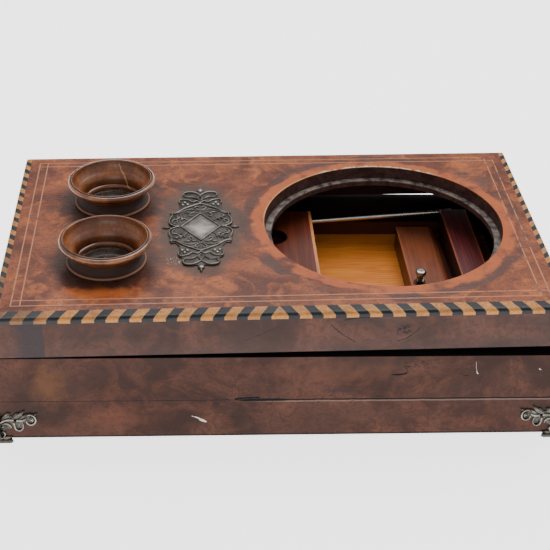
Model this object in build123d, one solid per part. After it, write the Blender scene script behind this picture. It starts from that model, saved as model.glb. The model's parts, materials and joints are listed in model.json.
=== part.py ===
"""Folding stereo graphoscope: a veneered box whose lid is a panel of lenses over a sliding card carriage.

Frame: +X to the right along the box, +Y to the back, +Z up. The origin is on the table, under the middle.
The lens panel is hinged at the left end and rests slightly ajar. It is modelled shut, then opened.
"""

import os
from math import asin, degrees

from build123d import *

# ---- Driving dimensions, mm ----
CASE_LENGTH = 360.0
CASE_DEPTH = 212.5
WALL = 10.0
PLINTH_HEIGHT = 29.2
TRAY_HEIGHT = 33.5
FOOT_DROP = 2.4            # how far the feet hold the box off the table

LID_HEIGHT = 29.1
LID_BOARD = 13.0           # thickness of the lens board, the rest of the lid is rails
LID_GAP = 0.3              # between the shut lid and the case
LID_AJAR = 1.11            # degrees that the lid stands open at rest

OPENING_FROM_END = 105.4   # middle of the large round opening, from the end away from the hinge
OPENING_Y = 4.0
OPENING_RADIUS = 82.0      # rebate that seats the large lens
OPENING_REBATE = 9.0
LEDGE_WIDTH = 5.0

EYE_FROM_HINGE = 67.4      # and the same from the sight board's hinge to its holes
EYE_SPACING = 80.3
CUP_HEIGHT = 18.4
CUP_RIM_RADIUS = 30.2
CUP_MOUTH_RADIUS = 27.4
CUP_BASE_RADIUS = 26.0
CUP_NECK_RADIUS = 21.6
SPIGOT_RADIUS = 20.5
EYE_LENS_RADIUS = 18.3

MOUNT_FROM_HINGE = 129.0   # pierced metal mount between the cups and the opening
MOUNT_LENGTH = 115.0
MOUNT_WIDTH = 52.6
MOUNT_THICKNESS = 2.2

ROPE_FRONT = 8.5
ROPE_SIDE = 4.5
ROPE_DROP = 4.0
STRING_WIDTH = 0.8
STRING_DEPTH = 0.6
STRING_OUTER = {"side": 10.7, "front": 14.0, "back": 7.0}
STRING_INNER = {"side": 16.5, "front": 20.0, "back": 12.4}

FLOOR_RISE = 3.8           # floor of the tray, above the joint between plinth and tray
FLOOR_THICKNESS = 8.0
BOTTOM_THICKNESS = 6.0
SLOT_WIDTH = 8.0

BOARD_DROP = 0.4           # the left deck and the sight board, below the rim of the tray
SIGHT_THICKNESS = 6.0
DECK_LENGTH = 113.7
SIGHT_LENGTH = 97.3
SIGHT_HOLE_RADIUS = 10.0
SIGHT_WIDTH = 154.0
LIPPING = 2.0
STORE_SIDE_INSET = 2.0     # side walls of the card store, in from the edges of the sight board
STORE_SIDE_WIDTH = 6.0

CARRIAGE_FROM_END = 83.0   # its left edge, from the right end of the case
CARRIAGE_WIDTH = 156.0
RAIL_WIDTH = 31.0
CARD_GROOVE = 2.5
REAR_BAR_WIDTH = 19.5
REAR_BAR_LENGTH = 168.0
BED_HEIGHT = 8.6
RAIL_HEIGHT = 8.4
REAR_BAR_DROP = 0.7        # below the rim of the tray
CARRIAGE_LEFT_TRAVEL = 65.0
CARRIAGE_RIGHT_TRAVEL = 15.0

WIRE_RADIUS = 1.9
WIRE_SPACING = 176.0
WIRE_PIVOT_INSET = 9.0     # from the right side of the rear bar
WIRE_PIVOT_DROP = 3.7      # below the top of the rear bar
WIRE_LENGTH = 140.0
WIRE_SLOPE = 4.8           # degrees that the arms lie below level
WIRE_BEND = 3.2

BUTTON_INSET = 6.4         # from the left edge of the carriage
BUTTON_HEIGHT = 10.0       # above the front rail
BUTTON_RADIUS = 3.85
STEM_RADIUS = 1.5
SPRING_WIRE = 0.6
SPRING_TURNS = 5

STRUT_PIVOT_REACH = 62.0   # along the lid from the hinge
STRUT_PIVOT_DEPTH = 5.25   # below the lens board
STRUT_CENTRES = 94.0
STRUT_WIDTH = 24.0
STRUT_THICKNESS = 7.0
RACK_TEETH = 3
RACK_PITCH = 9.0
RACK_TOOTH_HEIGHT = 1.6
RACK_TOOTH_WIDTH = 3.0

HINGE_WIDTH = 40.0
HINGE_Y = 60.0
KNUCKLE_RADIUS = 2.6
PIN_RADIUS = 1.3
LEAF_THICKNESS = 1.2
LEAF_REACH = 9.0           # from the end face of the case to the far edge of a leaf
SCREW_HEAD_RADIUS = 1.8
SCREW_RADIUS = 1.0
SCREW_LENGTH = 7.0

FOOT_SIZE = 27.0
FOOT_HEIGHT = 28.9
FOOT_RELIEF = 3.0
FOOT_PAD = 14.0

# ---- Clearances, mm ----
RUNNING = 0.05             # radial, shaft in bore
FREE = 0.3                 # between pieces that move past each other

# ---- Heights and places worked out from them ----
CASE_BOTTOM = FOOT_DROP
JOINT_Z = CASE_BOTTOM + PLINTH_HEIGHT
CASE_TOP = JOINT_Z + TRAY_HEIGHT
LID_BOTTOM = CASE_TOP + LID_GAP
HINGE_Z = CASE_TOP + LID_GAP / 2
LID_TOP = LID_BOTTOM + LID_HEIGHT
LENS_BOARD_BOTTOM = LID_TOP - LID_BOARD
LEFT = -CASE_LENGTH / 2
RIGHT = CASE_LENGTH / 2
FRONT = -CASE_DEPTH / 2
BACK = CASE_DEPTH / 2
OPENING_X = RIGHT - OPENING_FROM_END
EYE_X = LEFT + EYE_FROM_HINGE
MOUNT_X = LEFT + MOUNT_FROM_HINGE
FLOOR_TOP = JOINT_Z + FLOOR_RISE
FLOOR_BOTTOM = FLOOR_TOP - FLOOR_THICKNESS
BOARD_TOP = CASE_TOP - BOARD_DROP
SIGHT_BOTTOM = BOARD_TOP - SIGHT_THICKNESS
SIGHT_HINGE_X = LEFT + DECK_LENGTH
SIGHT_EDGE_X = SIGHT_HINGE_X + SIGHT_LENGTH
SIGHT_HOLE_X = SIGHT_HINGE_X + EYE_FROM_HINGE
CARRIAGE_LEFT = RIGHT - CARRIAGE_FROM_END
RAIL_RIGHT = CARRIAGE_LEFT + RAIL_WIDTH
REAR_BAR_LEFT = RAIL_RIGHT + CARD_GROOVE
CARRIAGE_RIGHT = REAR_BAR_LEFT + REAR_BAR_WIDTH
BED_TOP = FLOOR_TOP + BED_HEIGHT
RAIL_TOP = BED_TOP + RAIL_HEIGHT
REAR_BAR_TOP = CASE_TOP - REAR_BAR_DROP
WIRE_PIVOT_X = CARRIAGE_RIGHT - WIRE_PIVOT_INSET
WIRE_PIVOT_Z = REAR_BAR_TOP - WIRE_PIVOT_DROP
BUTTON_X = CARRIAGE_LEFT + BUTTON_INSET
BUTTON_TOP = RAIL_TOP + BUTTON_HEIGHT
SIDES = {"front": -1, "back": 1}
LID_HINGE = Axis((LEFT, 0, HINGE_Z), (0, -1, 0))
SIGHT_HINGE = Axis((SIGHT_HINGE_X, 0, BOARD_TOP), (0, -1, 0))
RUN_Y = (-90, 0, 0)        # turns a cylinder's axis from Z to Y


def block(x, y, z):
    """A box from three (low, high) pairs."""
    size = [high - low for low, high in (x, y, z)]
    middle = [(high + low) / 2 for low, high in (x, y, z)]
    return Pos(*middle) * Box(*size)


def rod(x, y, z, radius, height):
    """An upright cylinder from z upwards."""
    return Pos(x, y, z + height / 2) * Cylinder(radius, height)


def cross_rod(x, z, y, radius):
    """A cylinder along Y between the two values of y."""
    low, high = y
    return Pos(x, (low + high) / 2, z) * Rot(*RUN_Y) * Cylinder(radius, high - low)


def together(solids):
    """Separate solids kept as one group."""
    return Compound(list(solids))


def turned(profile):
    """A solid of revolution about Z from (radius, height) points."""
    outline = make_face(Polyline([(r, 0, z) for r, z in profile], close=True))
    return revolve(outline, Axis.Z)


def mitred_frame(bottom, height):
    """Front, back, left and right boards of one layer of the case, mitred at the corners."""
    x_in = RIGHT - WALL
    y_in = BACK - WALL
    outlines = {
        "front": [(LEFT, FRONT), (RIGHT, FRONT), (x_in, -y_in), (-x_in, -y_in)],
        "back": [(LEFT, BACK), (RIGHT, BACK), (x_in, y_in), (-x_in, y_in)],
        "left": [(LEFT, FRONT), (-x_in, -y_in), (-x_in, y_in), (LEFT, BACK)],
        "right": [(RIGHT, FRONT), (x_in, -y_in), (x_in, y_in), (RIGHT, BACK)],
    }
    return {
        side: Pos(0, 0, bottom) * extrude(make_face(Polyline(points, close=True)), amount=height)
        for side, points in outlines.items()
    }


# ---- Hinges of the lens panel ----
def hinge_places():
    """Y of the middle of each hinge: the sight board's hinges line up with the lens panel's."""
    return [way * HINGE_Y for way in SIDES.values()]


def hinge_spans():
    """Five equal knuckles over one hinge's width, as (low, high) pairs centred on 0."""
    pitch = HINGE_WIDTH / 5
    gap = FREE / 2
    starts = [-HINGE_WIDTH / 2 + i * pitch for i in range(5)]
    return [(start + gap, start + pitch - gap) for start in starts]


def leaf_screw_places(y):
    """The three screws of one leaf."""
    x = LEFT + (KNUCKLE_RADIUS + FREE + LEAF_REACH) / 2
    return [(x, y + step * HINGE_WIDTH / 3) for step in (-1, 0, 1)]


def hinge_leaf(y, above):
    """A butt hinge's leaf with its own knuckles, above or below the hinge axis."""
    face = HINGE_Z + (LID_GAP / 2 if above else -LID_GAP / 2)
    plate_z = (face, face + LEAF_THICKNESS) if above else (face - LEAF_THICKNESS, face)
    start = LEFT + KNUCKLE_RADIUS + FREE
    leaf = block((start, LEFT + LEAF_REACH), (y - HINGE_WIDTH / 2, y + HINGE_WIDTH / 2), plate_z)
    for low, high in hinge_spans()[(1 if above else 0)::2]:
        leaf += block((LEFT, start), (y + low, y + high), plate_z)
        leaf += cross_rod(LEFT, HINGE_Z, (y + low, y + high), KNUCKLE_RADIUS)
    leaf -= cross_rod(LEFT, HINGE_Z, (y - HINGE_WIDTH / 2, y + HINGE_WIDTH / 2), PIN_RADIUS + RUNNING)
    return leaf


def hinge_recess(y, above):
    """The wood cut away for a leaf and for the barrel."""
    face = HINGE_Z + (LID_GAP / 2 if above else -LID_GAP / 2)
    plate_z = (face - LID_GAP, face + LEAF_THICKNESS)
    if not above:
        plate_z = (face - LEAF_THICKNESS, face + LID_GAP)
    span = (y - HINGE_WIDTH / 2, y + HINGE_WIDTH / 2)
    plate = block((LEFT - 1, LEFT + LEAF_REACH), span, plate_z)
    return plate + cross_rod(LEFT, HINGE_Z, span, KNUCKLE_RADIUS + FREE)


def wood_screw(x, y, face, down):
    """A flat-headed screw sunk flush with a face."""
    way = -1 if down else 1
    head = Pos(x, y, face + way * LEAF_THICKNESS / 2) * Cylinder(SCREW_HEAD_RADIUS, LEAF_THICKNESS)
    shank = Pos(x, y, face + way * SCREW_LENGTH / 2) * Cylinder(SCREW_RADIUS, SCREW_LENGTH)
    return head + shank


# ---- Case ----
def corner_foot(x_way, y_way):
    """A cast corner mount: two scrolled faces round the corner and a pad that carries the box."""
    s, h = FOOT_SIZE, FOOT_HEIGHT
    outline = [(0, 0), (0.48 * s, 0), (0.66 * s, 0.16 * h), (s, 0.3 * h), (0.92 * s, 0.52 * h)]
    outline += [(0.6 * s, 0.62 * h), (0.42 * s, 0.86 * h), (0.12 * s, h), (0, h)]
    relief = FOOT_RELIEF
    front_outline = make_face(Polyline([(u, 0, v) for u, v in outline], close=True))
    side_outline = make_face(Polyline([(0, u, v) for u, v in outline], close=True))
    front_face = extrude(front_outline, amount=relief, dir=(0, 1, 0))
    side_face = extrude(side_outline, amount=relief, dir=(1, 0, 0))
    pad = block((0, FOOT_PAD), (0, FOOT_PAD), (0, FOOT_DROP))
    foot = front_face + side_face + pad
    if x_way > 0:
        foot = mirror(foot, Plane.YZ)
    if y_way > 0:
        foot = mirror(foot, Plane.XZ)
    return Pos(x_way * (RIGHT + relief), y_way * (BACK + relief), 0) * foot


def foot_pins():
    """Two round-headed pins through the faces of each foot, into the plinth."""
    reach = FOOT_SIZE * 0.35
    height = FOOT_HEIGHT * 0.6
    length = FOOT_RELIEF + 6
    pins = []
    for x_way in (-1, 1):
        for y_way in (-1, 1):
            x = x_way * (RIGHT - reach)
            y = y_way * (BACK + FOOT_RELIEF - length / 2)
            pins.append(Pos(x, y, height) * Rot(*RUN_Y) * Cylinder(0.9, length))
            x = x_way * (RIGHT + FOOT_RELIEF - length / 2)
            y = y_way * (BACK - reach)
            pins.append(Pos(x, y, height) * Rot(0, 90, 0) * Cylinder(0.9, length))
    return pins


def slot_ends():
    """The floor slot, long enough for the tongue's whole travel."""
    return (CARRIAGE_LEFT + 3 - CARRIAGE_LEFT_TRAVEL - 1, CARRIAGE_RIGHT - 3 + CARRIAGE_RIGHT_TRAVEL + 1)


def build_case():
    nodes = {}
    pins = foot_pins()
    screws = []
    for way in SIDES.values():
        for x, y in leaf_screw_places(way * HINGE_Y):
            screws.append(wood_screw(x, y, CASE_TOP, down=True))

    for side, board in mitred_frame(CASE_BOTTOM, PLINTH_HEIGHT).items():
        for pin in pins:
            board -= pin
        nodes[f"plinth_{side}_board"] = board
    for side, board in mitred_frame(JOINT_Z, TRAY_HEIGHT).items():
        if side == "left":
            for way in SIDES.values():
                board -= hinge_recess(way * HINGE_Y, above=False)
            for screw in screws:
                board -= screw
        nodes[f"tray_{side}_board"] = board

    inside_x = (LEFT + WALL, RIGHT - WALL)
    inside_y = (FRONT + WALL, BACK - WALL)
    bottom_z = CASE_BOTTOM + 2
    nodes["bottom_board"] = block(inside_x, inside_y, (bottom_z, bottom_z + BOTTOM_THICKNESS))
    slot_y = (-SLOT_WIDTH / 2, SLOT_WIDTH / 2)
    slot_low, slot_high = slot_ends()
    slot = block((slot_low, slot_high), slot_y, (FLOOR_BOTTOM - 5, FLOOR_TOP + 1))
    nodes["tray_floor"] = block(inside_x, inside_y, (FLOOR_BOTTOM, FLOOR_TOP)) - slot
    plate = block((slot_low - 5, slot_high + 5), (-12, 12), (FLOOR_BOTTOM - 1, FLOOR_BOTTOM))
    nodes["friction_plate"] = plate - slot

    knuckle_cut = sight_barrel_cut()
    deck_x = (inside_x[0], SIGHT_HINGE_X - FREE)
    deck = block(deck_x, inside_y, (SIGHT_BOTTOM - FREE, BOARD_TOP)) - knuckle_cut
    for part in sight_hinge_leaves(left=True):
        deck -= part
    nodes["left_deck"] = deck
    outer_y = SIGHT_WIDTH / 2 - STORE_SIDE_INSET
    store_x = (inside_x[0], SIGHT_EDGE_X - LIPPING)
    store_sides = []
    for way in SIDES.values():
        store_y = sorted((way * outer_y, way * (outer_y - STORE_SIDE_WIDTH)))
        store_sides.append(block(store_x, store_y, (FLOOR_TOP, SIGHT_BOTTOM - FREE)))
    nodes["card_store_sides"] = together(store_sides)
    first_tooth = strut_landing()
    nodes["strut_rack"] = together(
        block((first_tooth + i * RACK_PITCH, first_tooth + i * RACK_PITCH + RACK_TOOTH_WIDTH), (-16, 16),
              (BOARD_TOP, BOARD_TOP + RACK_TOOTH_HEIGHT))
        for i in range(RACK_TEETH)
    )

    for x_name, x_way in (("left", -1), ("right", 1)):
        for y_name, y_way in SIDES.items():
            foot = corner_foot(x_way, y_way)
            for pin in pins:
                foot -= pin
            nodes[f"foot_{y_name}_{x_name}"] = foot
    nodes["foot_pins"] = together(pins)

    for y_name, way in SIDES.items():
        leaf = hinge_leaf(way * HINGE_Y, above=False)
        for screw in screws:
            leaf -= screw
        nodes[f"case_hinge_leaf_{y_name}"] = leaf
    nodes["case_hinge_screws"] = together(screws)
    half = HINGE_WIDTH / 2
    hinge_pins = [cross_rod(LEFT, HINGE_Z, (y - half, y + half), PIN_RADIUS) for y in hinge_places()]
    hinge_pins += [cross_rod(SIGHT_HINGE_X, BOARD_TOP, (y - 12, y + 12), 0.8) for y in hinge_places()]
    nodes["hinge_pins"] = together(hinge_pins)
    nodes["deck_hinge_leaves"] = together(sight_hinge_leaves(left=True))
    return nodes


# ---- Sight board ----
def sight_barrel_cut():
    """Room for the small barrels at the hinge of the sight board."""
    cut = None
    for y in hinge_places():
        piece = cross_rod(SIGHT_HINGE_X, BOARD_TOP, (y - 12, y + 12), 2.0 + FREE)
        cut = piece if cut is None else cut + piece
    return cut


def sight_hinge_leaves(left):
    """Small leaves let into the deck (left) or the sight board, three knuckles to each hinge."""
    leaves = []
    way = -1 if left else 1
    for y in hinge_places():
        ends = sorted((SIGHT_HINGE_X + way * (2.0 + FREE), SIGHT_HINGE_X + way * 11))
        top = (BOARD_TOP - 1.0, BOARD_TOP)
        leaf = block(ends, (y - 12, y + 12), top)
        spans = [(-12, -4.15), (4.15, 12)] if left else [(-3.85, 3.85)]
        for low, high in spans:
            arm = sorted((SIGHT_HINGE_X, SIGHT_HINGE_X + way * (2.0 + FREE)))
            leaf += block(arm, (y + low, y + high), top)
            leaf += cross_rod(SIGHT_HINGE_X, BOARD_TOP, (y + low, y + high), 2.0)
        leaf -= cross_rod(SIGHT_HINGE_X, BOARD_TOP, (y - 12, y + 12), 0.8 + RUNNING)
        leaves.append(leaf)
    return leaves


def build_sight_board():
    """Built level, then lifted about its hinge as far as the lens panel stands ajar."""
    nodes = {}
    half = SIGHT_WIDTH / 2
    board = block((SIGHT_HINGE_X + FREE, SIGHT_EDGE_X - LIPPING), (-half, half), (SIGHT_BOTTOM, BOARD_TOP))
    board -= sight_barrel_cut()
    for way in SIDES.values():
        y = way * EYE_SPACING / 2
        board -= rod(SIGHT_HOLE_X, y, SIGHT_BOTTOM - 1, SIGHT_HOLE_RADIUS, SIGHT_THICKNESS + 2)
    leaves = sight_hinge_leaves(left=False)
    for leaf in leaves:
        board -= leaf
    nodes["sight_board"] = board
    nodes["sight_board_lipping"] = block((SIGHT_EDGE_X - LIPPING, SIGHT_EDGE_X), (-half, half),
                                         (SIGHT_BOTTOM, BOARD_TOP))
    nodes["sight_hinge_leaves"] = together(leaves)
    return {name: solid.rotate(SIGHT_HINGE, LID_AJAR) for name, solid in nodes.items()}


# ---- Card carriage ----
def build_carriage():
    nodes = {}
    half = CARRIAGE_WIDTH / 2
    bed_bottom = FLOOR_TOP + FREE
    stem_way = rod(BUTTON_X, 0, 0, STEM_RADIUS + FREE, BED_TOP)
    bed = block((CARRIAGE_LEFT, CARRIAGE_RIGHT), (-half, half), (bed_bottom, BED_TOP)) - stem_way
    rail = block((CARRIAGE_LEFT, RAIL_RIGHT), (-half, half), (BED_TOP, RAIL_TOP))
    bevel = rail.edges().filter_by(Axis.Y).group_by(Axis.Z)[-1].sort_by(Axis.X)[-1]
    rail = chamfer(bevel, 3.5, 6.5)
    bush = rod(BUTTON_X, 0, BED_TOP, 2.6, RAIL_TOP - BED_TOP) + rod(BUTTON_X, 0, RAIL_TOP, 4.2, 0.6)
    rail -= rod(BUTTON_X, 0, BED_TOP, 2.6, RAIL_TOP - BED_TOP)
    bush -= rod(BUTTON_X, 0, BED_TOP - 1, STEM_RADIUS + RUNNING, 12)

    bar_half = REAR_BAR_LENGTH / 2
    bar = block((REAR_BAR_LEFT, CARRIAGE_RIGHT), (-bar_half, bar_half), (BED_TOP, REAR_BAR_TOP))
    bar -= cross_rod(WIRE_PIVOT_X, WIRE_PIVOT_Z, (-bar_half - 1, bar_half + 1), WIRE_RADIUS + FREE)
    ferrules = []
    for way in SIDES.values():
        span = sorted((way * (bar_half - 6), way * bar_half))
        sleeve = cross_rod(WIRE_PIVOT_X, WIRE_PIVOT_Z, span, 3.0)
        bar -= sleeve
        ferrules.append(sleeve - cross_rod(WIRE_PIVOT_X, WIRE_PIVOT_Z, span, WIRE_RADIUS + RUNNING))

    tongue = block((CARRIAGE_LEFT + 3, CARRIAGE_RIGHT - 3), (-SLOT_WIDTH / 2 + FREE, SLOT_WIDTH / 2 - FREE),
                   (FLOOR_BOTTOM + 1, bed_bottom)) - stem_way
    screws = []
    for x in (CARRIAGE_LEFT + 18, REAR_BAR_LEFT + 9):
        for way in SIDES.values():
            y = way * half * 0.7
            screws.append(rod(x, y, bed_bottom, 3.0, 2.0) + rod(x, y, bed_bottom, 1.5, 13))
    for screw in screws:
        bed -= screw
        rail -= screw
        bar -= screw
    nodes["carriage_bed"] = bed
    nodes["carriage_front_rail"] = rail
    nodes["carriage_rear_bar"] = bar
    nodes["carriage_tongue"] = tongue
    nodes["carriage_screws"] = together(screws)
    nodes["button_bush"] = bush
    nodes["card_rest_ferrules"] = together(ferrules)
    return nodes


def build_button():
    """Domed head on a stem through the carriage, with a shoe under the floor and a return spring."""
    nodes = {}
    head_bottom = BUTTON_TOP - 3.0
    shoe_top = FLOOR_BOTTOM - 1 - FREE
    shoe_bottom = shoe_top - 2.5
    dome = Pos(BUTTON_X, 0, head_bottom + 1.5) * Cylinder(BUTTON_RADIUS, 3.0)
    dome = fillet(dome.edges().group_by(Axis.Z)[-1], 1.8)
    stem = rod(BUTTON_X, 0, shoe_bottom, STEM_RADIUS, head_bottom - shoe_bottom)
    nodes["release_button"] = dome + stem
    shoe = block((BUTTON_X - 6, BUTTON_X + 6), (-9, 9), (shoe_bottom, shoe_top))
    nodes["friction_shoe"] = shoe - rod(BUTTON_X, 0, shoe_bottom - 1, STEM_RADIUS, 5)
    coil_bottom = RAIL_TOP + 0.6 + SPRING_WIRE / 2 + 0.02
    coil_height = head_bottom - 0.02 - SPRING_WIRE / 2 - coil_bottom
    coil_radius = 2.3
    path = Helix(pitch=coil_height / SPRING_TURNS, height=coil_height, radius=coil_radius)
    section = Plane(origin=path @ 0, z_dir=path % 0) * Circle(SPRING_WIRE / 2)
    nodes["button_spring"] = Pos(BUTTON_X, 0, coil_bottom) * sweep(section, path=path)
    return nodes


def build_card_rest():
    """One steel wire: an axle through the rear bar and an arm at each end."""
    y = WIRE_SPACING / 2
    tip = WIRE_PIVOT_X - WIRE_LENGTH
    points = [(tip, -y, WIRE_PIVOT_Z), (WIRE_PIVOT_X, -y, WIRE_PIVOT_Z),
              (WIRE_PIVOT_X, y, WIRE_PIVOT_Z), (tip, y, WIRE_PIVOT_Z)]
    path = FilletPolyline(*points, radius=WIRE_BEND)
    wire = sweep(Plane(origin=points[0], z_dir=(1, 0, 0)) * Circle(WIRE_RADIUS), path=path)
    pivot = Axis((WIRE_PIVOT_X, 0, WIRE_PIVOT_Z), (0, -1, 0))
    return {"card_rest_wire": wire.rotate(pivot, WIRE_SLOPE)}


# ---- Lens panel ----
def strut_drop():
    """Height of the strut's pivot over its foot when the lens panel is upright."""
    return STRUT_PIVOT_REACH - (BOARD_TOP - HINGE_Z + FREE + STRUT_THICKNESS / 2)


def strut_landing():
    """X of the first rack tooth, just past the strut's foot when the lens panel is upright."""
    depth = LENS_BOARD_BOTTOM - HINGE_Z - STRUT_PIVOT_DEPTH
    run = (STRUT_CENTRES ** 2 - strut_drop() ** 2) ** 0.5
    return LEFT - depth + run + STRUT_THICKNESS / 2 + FREE


def strut_ratio():
    """Degrees that the strut turns for each degree of the lens panel."""
    return (90 + degrees(asin(strut_drop() / STRUT_CENTRES))) / 90


def strut_pivot():
    return LEFT + STRUT_PIVOT_REACH, LENS_BOARD_BOTTOM - STRUT_PIVOT_DEPTH


def build_strut():
    """Built against the shut lens panel, then let down by its share of the angle that it stands ajar."""
    x, z = strut_pivot()
    half = STRUT_WIDTH / 2
    r = STRUT_THICKNESS / 2
    bar = block((x, x + STRUT_CENTRES), (-half, half), (z - r, z + r))
    bar += cross_rod(x, z, (-half, half), r)
    bar += cross_rod(x + STRUT_CENTRES, z, (-half, half), r)
    bar -= cross_rod(x, z, (-half - 1, half + 1), PIN_RADIUS + RUNNING)
    return {"prop_strut": bar.rotate(Axis((x, 0, z), (0, 1, 0)), LID_AJAR * strut_ratio())}


def string_lines():
    """Outer loop and the inner lines that run on across it at the corners, as two grooves' worth of inlay."""
    z = (LID_TOP - STRING_DEPTH, LID_TOP)

    def limits(inset):
        return (LEFT + inset["side"], RIGHT - inset["side"]), (FRONT + inset["front"], BACK - inset["back"])

    (x0, x1), (y0, y1) = limits(STRING_OUTER)
    w = STRING_WIDTH
    outer = block((x0, x1), (y0, y1), z) - block((x0 + w, x1 - w), (y0 + w, y1 - w), z)
    (u0, u1), (v0, v1) = limits(STRING_INNER)
    inner = None
    lines = [((x0 + w, x1 - w), (v0, v0 + w)), ((x0 + w, x1 - w), (v1 - w, v1))]
    lines += [((u0, u0 + w), (y0 + w, y1 - w)), ((u1 - w, u1), (y0 + w, y1 - w))]
    for x, y in lines:
        inner = block(x, y, z) if inner is None else inner + block(x, y, z)
    return outer, inner


def rope_bars():
    """Banding let into the arris: full length in front, then back along both ends."""
    z = (LID_TOP - ROPE_DROP, LID_TOP)
    front = block((LEFT, RIGHT), (FRONT, FRONT + ROPE_FRONT), z)
    arris = front.edges().filter_by(Axis.X).group_by(Axis.Z)[-1].sort_by(Axis.Y)[0]
    front = fillet(arris, 2.2)
    side_y = (FRONT + ROPE_FRONT, BACK)
    left = block((LEFT, LEFT + ROPE_SIDE), side_y, z)
    left = fillet(left.edges().filter_by(Axis.Y).group_by(Axis.Z)[-1].sort_by(Axis.X)[0], 1.6)
    right = block((RIGHT - ROPE_SIDE, RIGHT), side_y, z)
    right = fillet(right.edges().filter_by(Axis.Y).group_by(Axis.Z)[-1].sort_by(Axis.X)[-1], 1.6)
    room = block((LEFT - 1, RIGHT + 1), (FRONT - 1, FRONT + ROPE_FRONT), (z[0], LID_TOP + 1))
    room += block((LEFT - 1, LEFT + ROPE_SIDE), (FRONT - 1, BACK + 1), (z[0], LID_TOP + 1))
    room += block((RIGHT - ROPE_SIDE, RIGHT + 1), (FRONT - 1, BACK + 1), (z[0], LID_TOP + 1))
    return front, left, right, room


def eyepiece_cup():
    """Turned cup with a flared collar, a waist and a lipped rim. Height 0 is the top of the lens board."""
    rim, mouth, base, neck = CUP_RIM_RADIUS, CUP_MOUTH_RADIUS, CUP_BASE_RADIUS, CUP_NECK_RADIUS
    top = CUP_HEIGHT
    outside = [(SPIGOT_RADIUS, -LID_BOARD), (SPIGOT_RADIUS, 0), (base, 0), (base, 1.2), (neck + 1.4, 3.6)]
    outside += [(neck, 7.0), (neck + 1.8, 10.0), (rim - 1.4, 13.2), (rim, 15.8), (rim - 1.2, 17.7)]
    outside += [(mouth + 0.5, top)]
    bore = EYE_LENS_RADIUS
    inside = [(mouth, top), (mouth - 1.6, 14.5), (mouth - 7.2, 4.2), (bore - 0.7, 1.5), (bore - 0.7, 0.4)]
    inside += [(bore, 0.4), (bore, -LID_BOARD)]
    return turned(outside + inside)


def eyepiece_lens():
    """Double-convex lens whose flat edge sits under the cup's ledge."""
    r = EYE_LENS_RADIUS - RUNNING
    edge_top, edge_bottom, bulge = 0.4, -1.4, 1.3
    top = ThreePointArc((0, 0, edge_top + bulge), (r * 0.5, 0, edge_top + bulge * 0.75), (r, 0, edge_top))
    low = edge_bottom - bulge
    bottom = ThreePointArc((0, 0, low), (r * 0.5, 0, low + bulge * 0.25), (r, 0, edge_bottom))
    outline = top + Line((r, 0, edge_top), (r, 0, edge_bottom)) + bottom
    outline += Line((0, 0, low), (0, 0, edge_top + bulge))
    lens = revolve(make_face(outline), Axis.Z)
    ledge_room = turned([(EYE_LENS_RADIUS - 0.75, 0.4), (EYE_LENS_RADIUS + 1, 0.4), (EYE_LENS_RADIUS + 1, 3),
                         (EYE_LENS_RADIUS - 0.75, 3)])
    return lens - ledge_room


def lens_retainer():
    r = EYE_LENS_RADIUS
    return turned([(r - 2.2, -5.2), (r, -5.2), (r, -1.5), (r - 0.3, -1.5), (r - 0.3, -2.4), (r - 2.2, -3.2)])


def pierced_mount():
    """Plate of the metal mount: a lobed body, a crown at each end and a finial at each tip."""
    half_x, half_y, t = MOUNT_WIDTH / 2, MOUNT_LENGTH / 2, MOUNT_THICKNESS
    quarter = [(half_x, 0), (half_x - 3.2, 2.2), (half_x - 3.6, 8), (half_x - 4.6, 20), (half_x - 10, 27)]
    quarter += [(half_x - 9.5, 36), (half_x - 12, 45), (6.0, 49.0), (2.6, half_y)]
    points = quarter + [(-x, y) for x, y in reversed(quarter)]
    points += [(-x, -y) for x, y in quarter[1:]] + [(x, -y) for x, y in reversed(quarter[1:])]
    return Pos(MOUNT_X, 0, LID_TOP) * extrude(make_face(Polyline(points, close=True)), amount=t)


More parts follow.
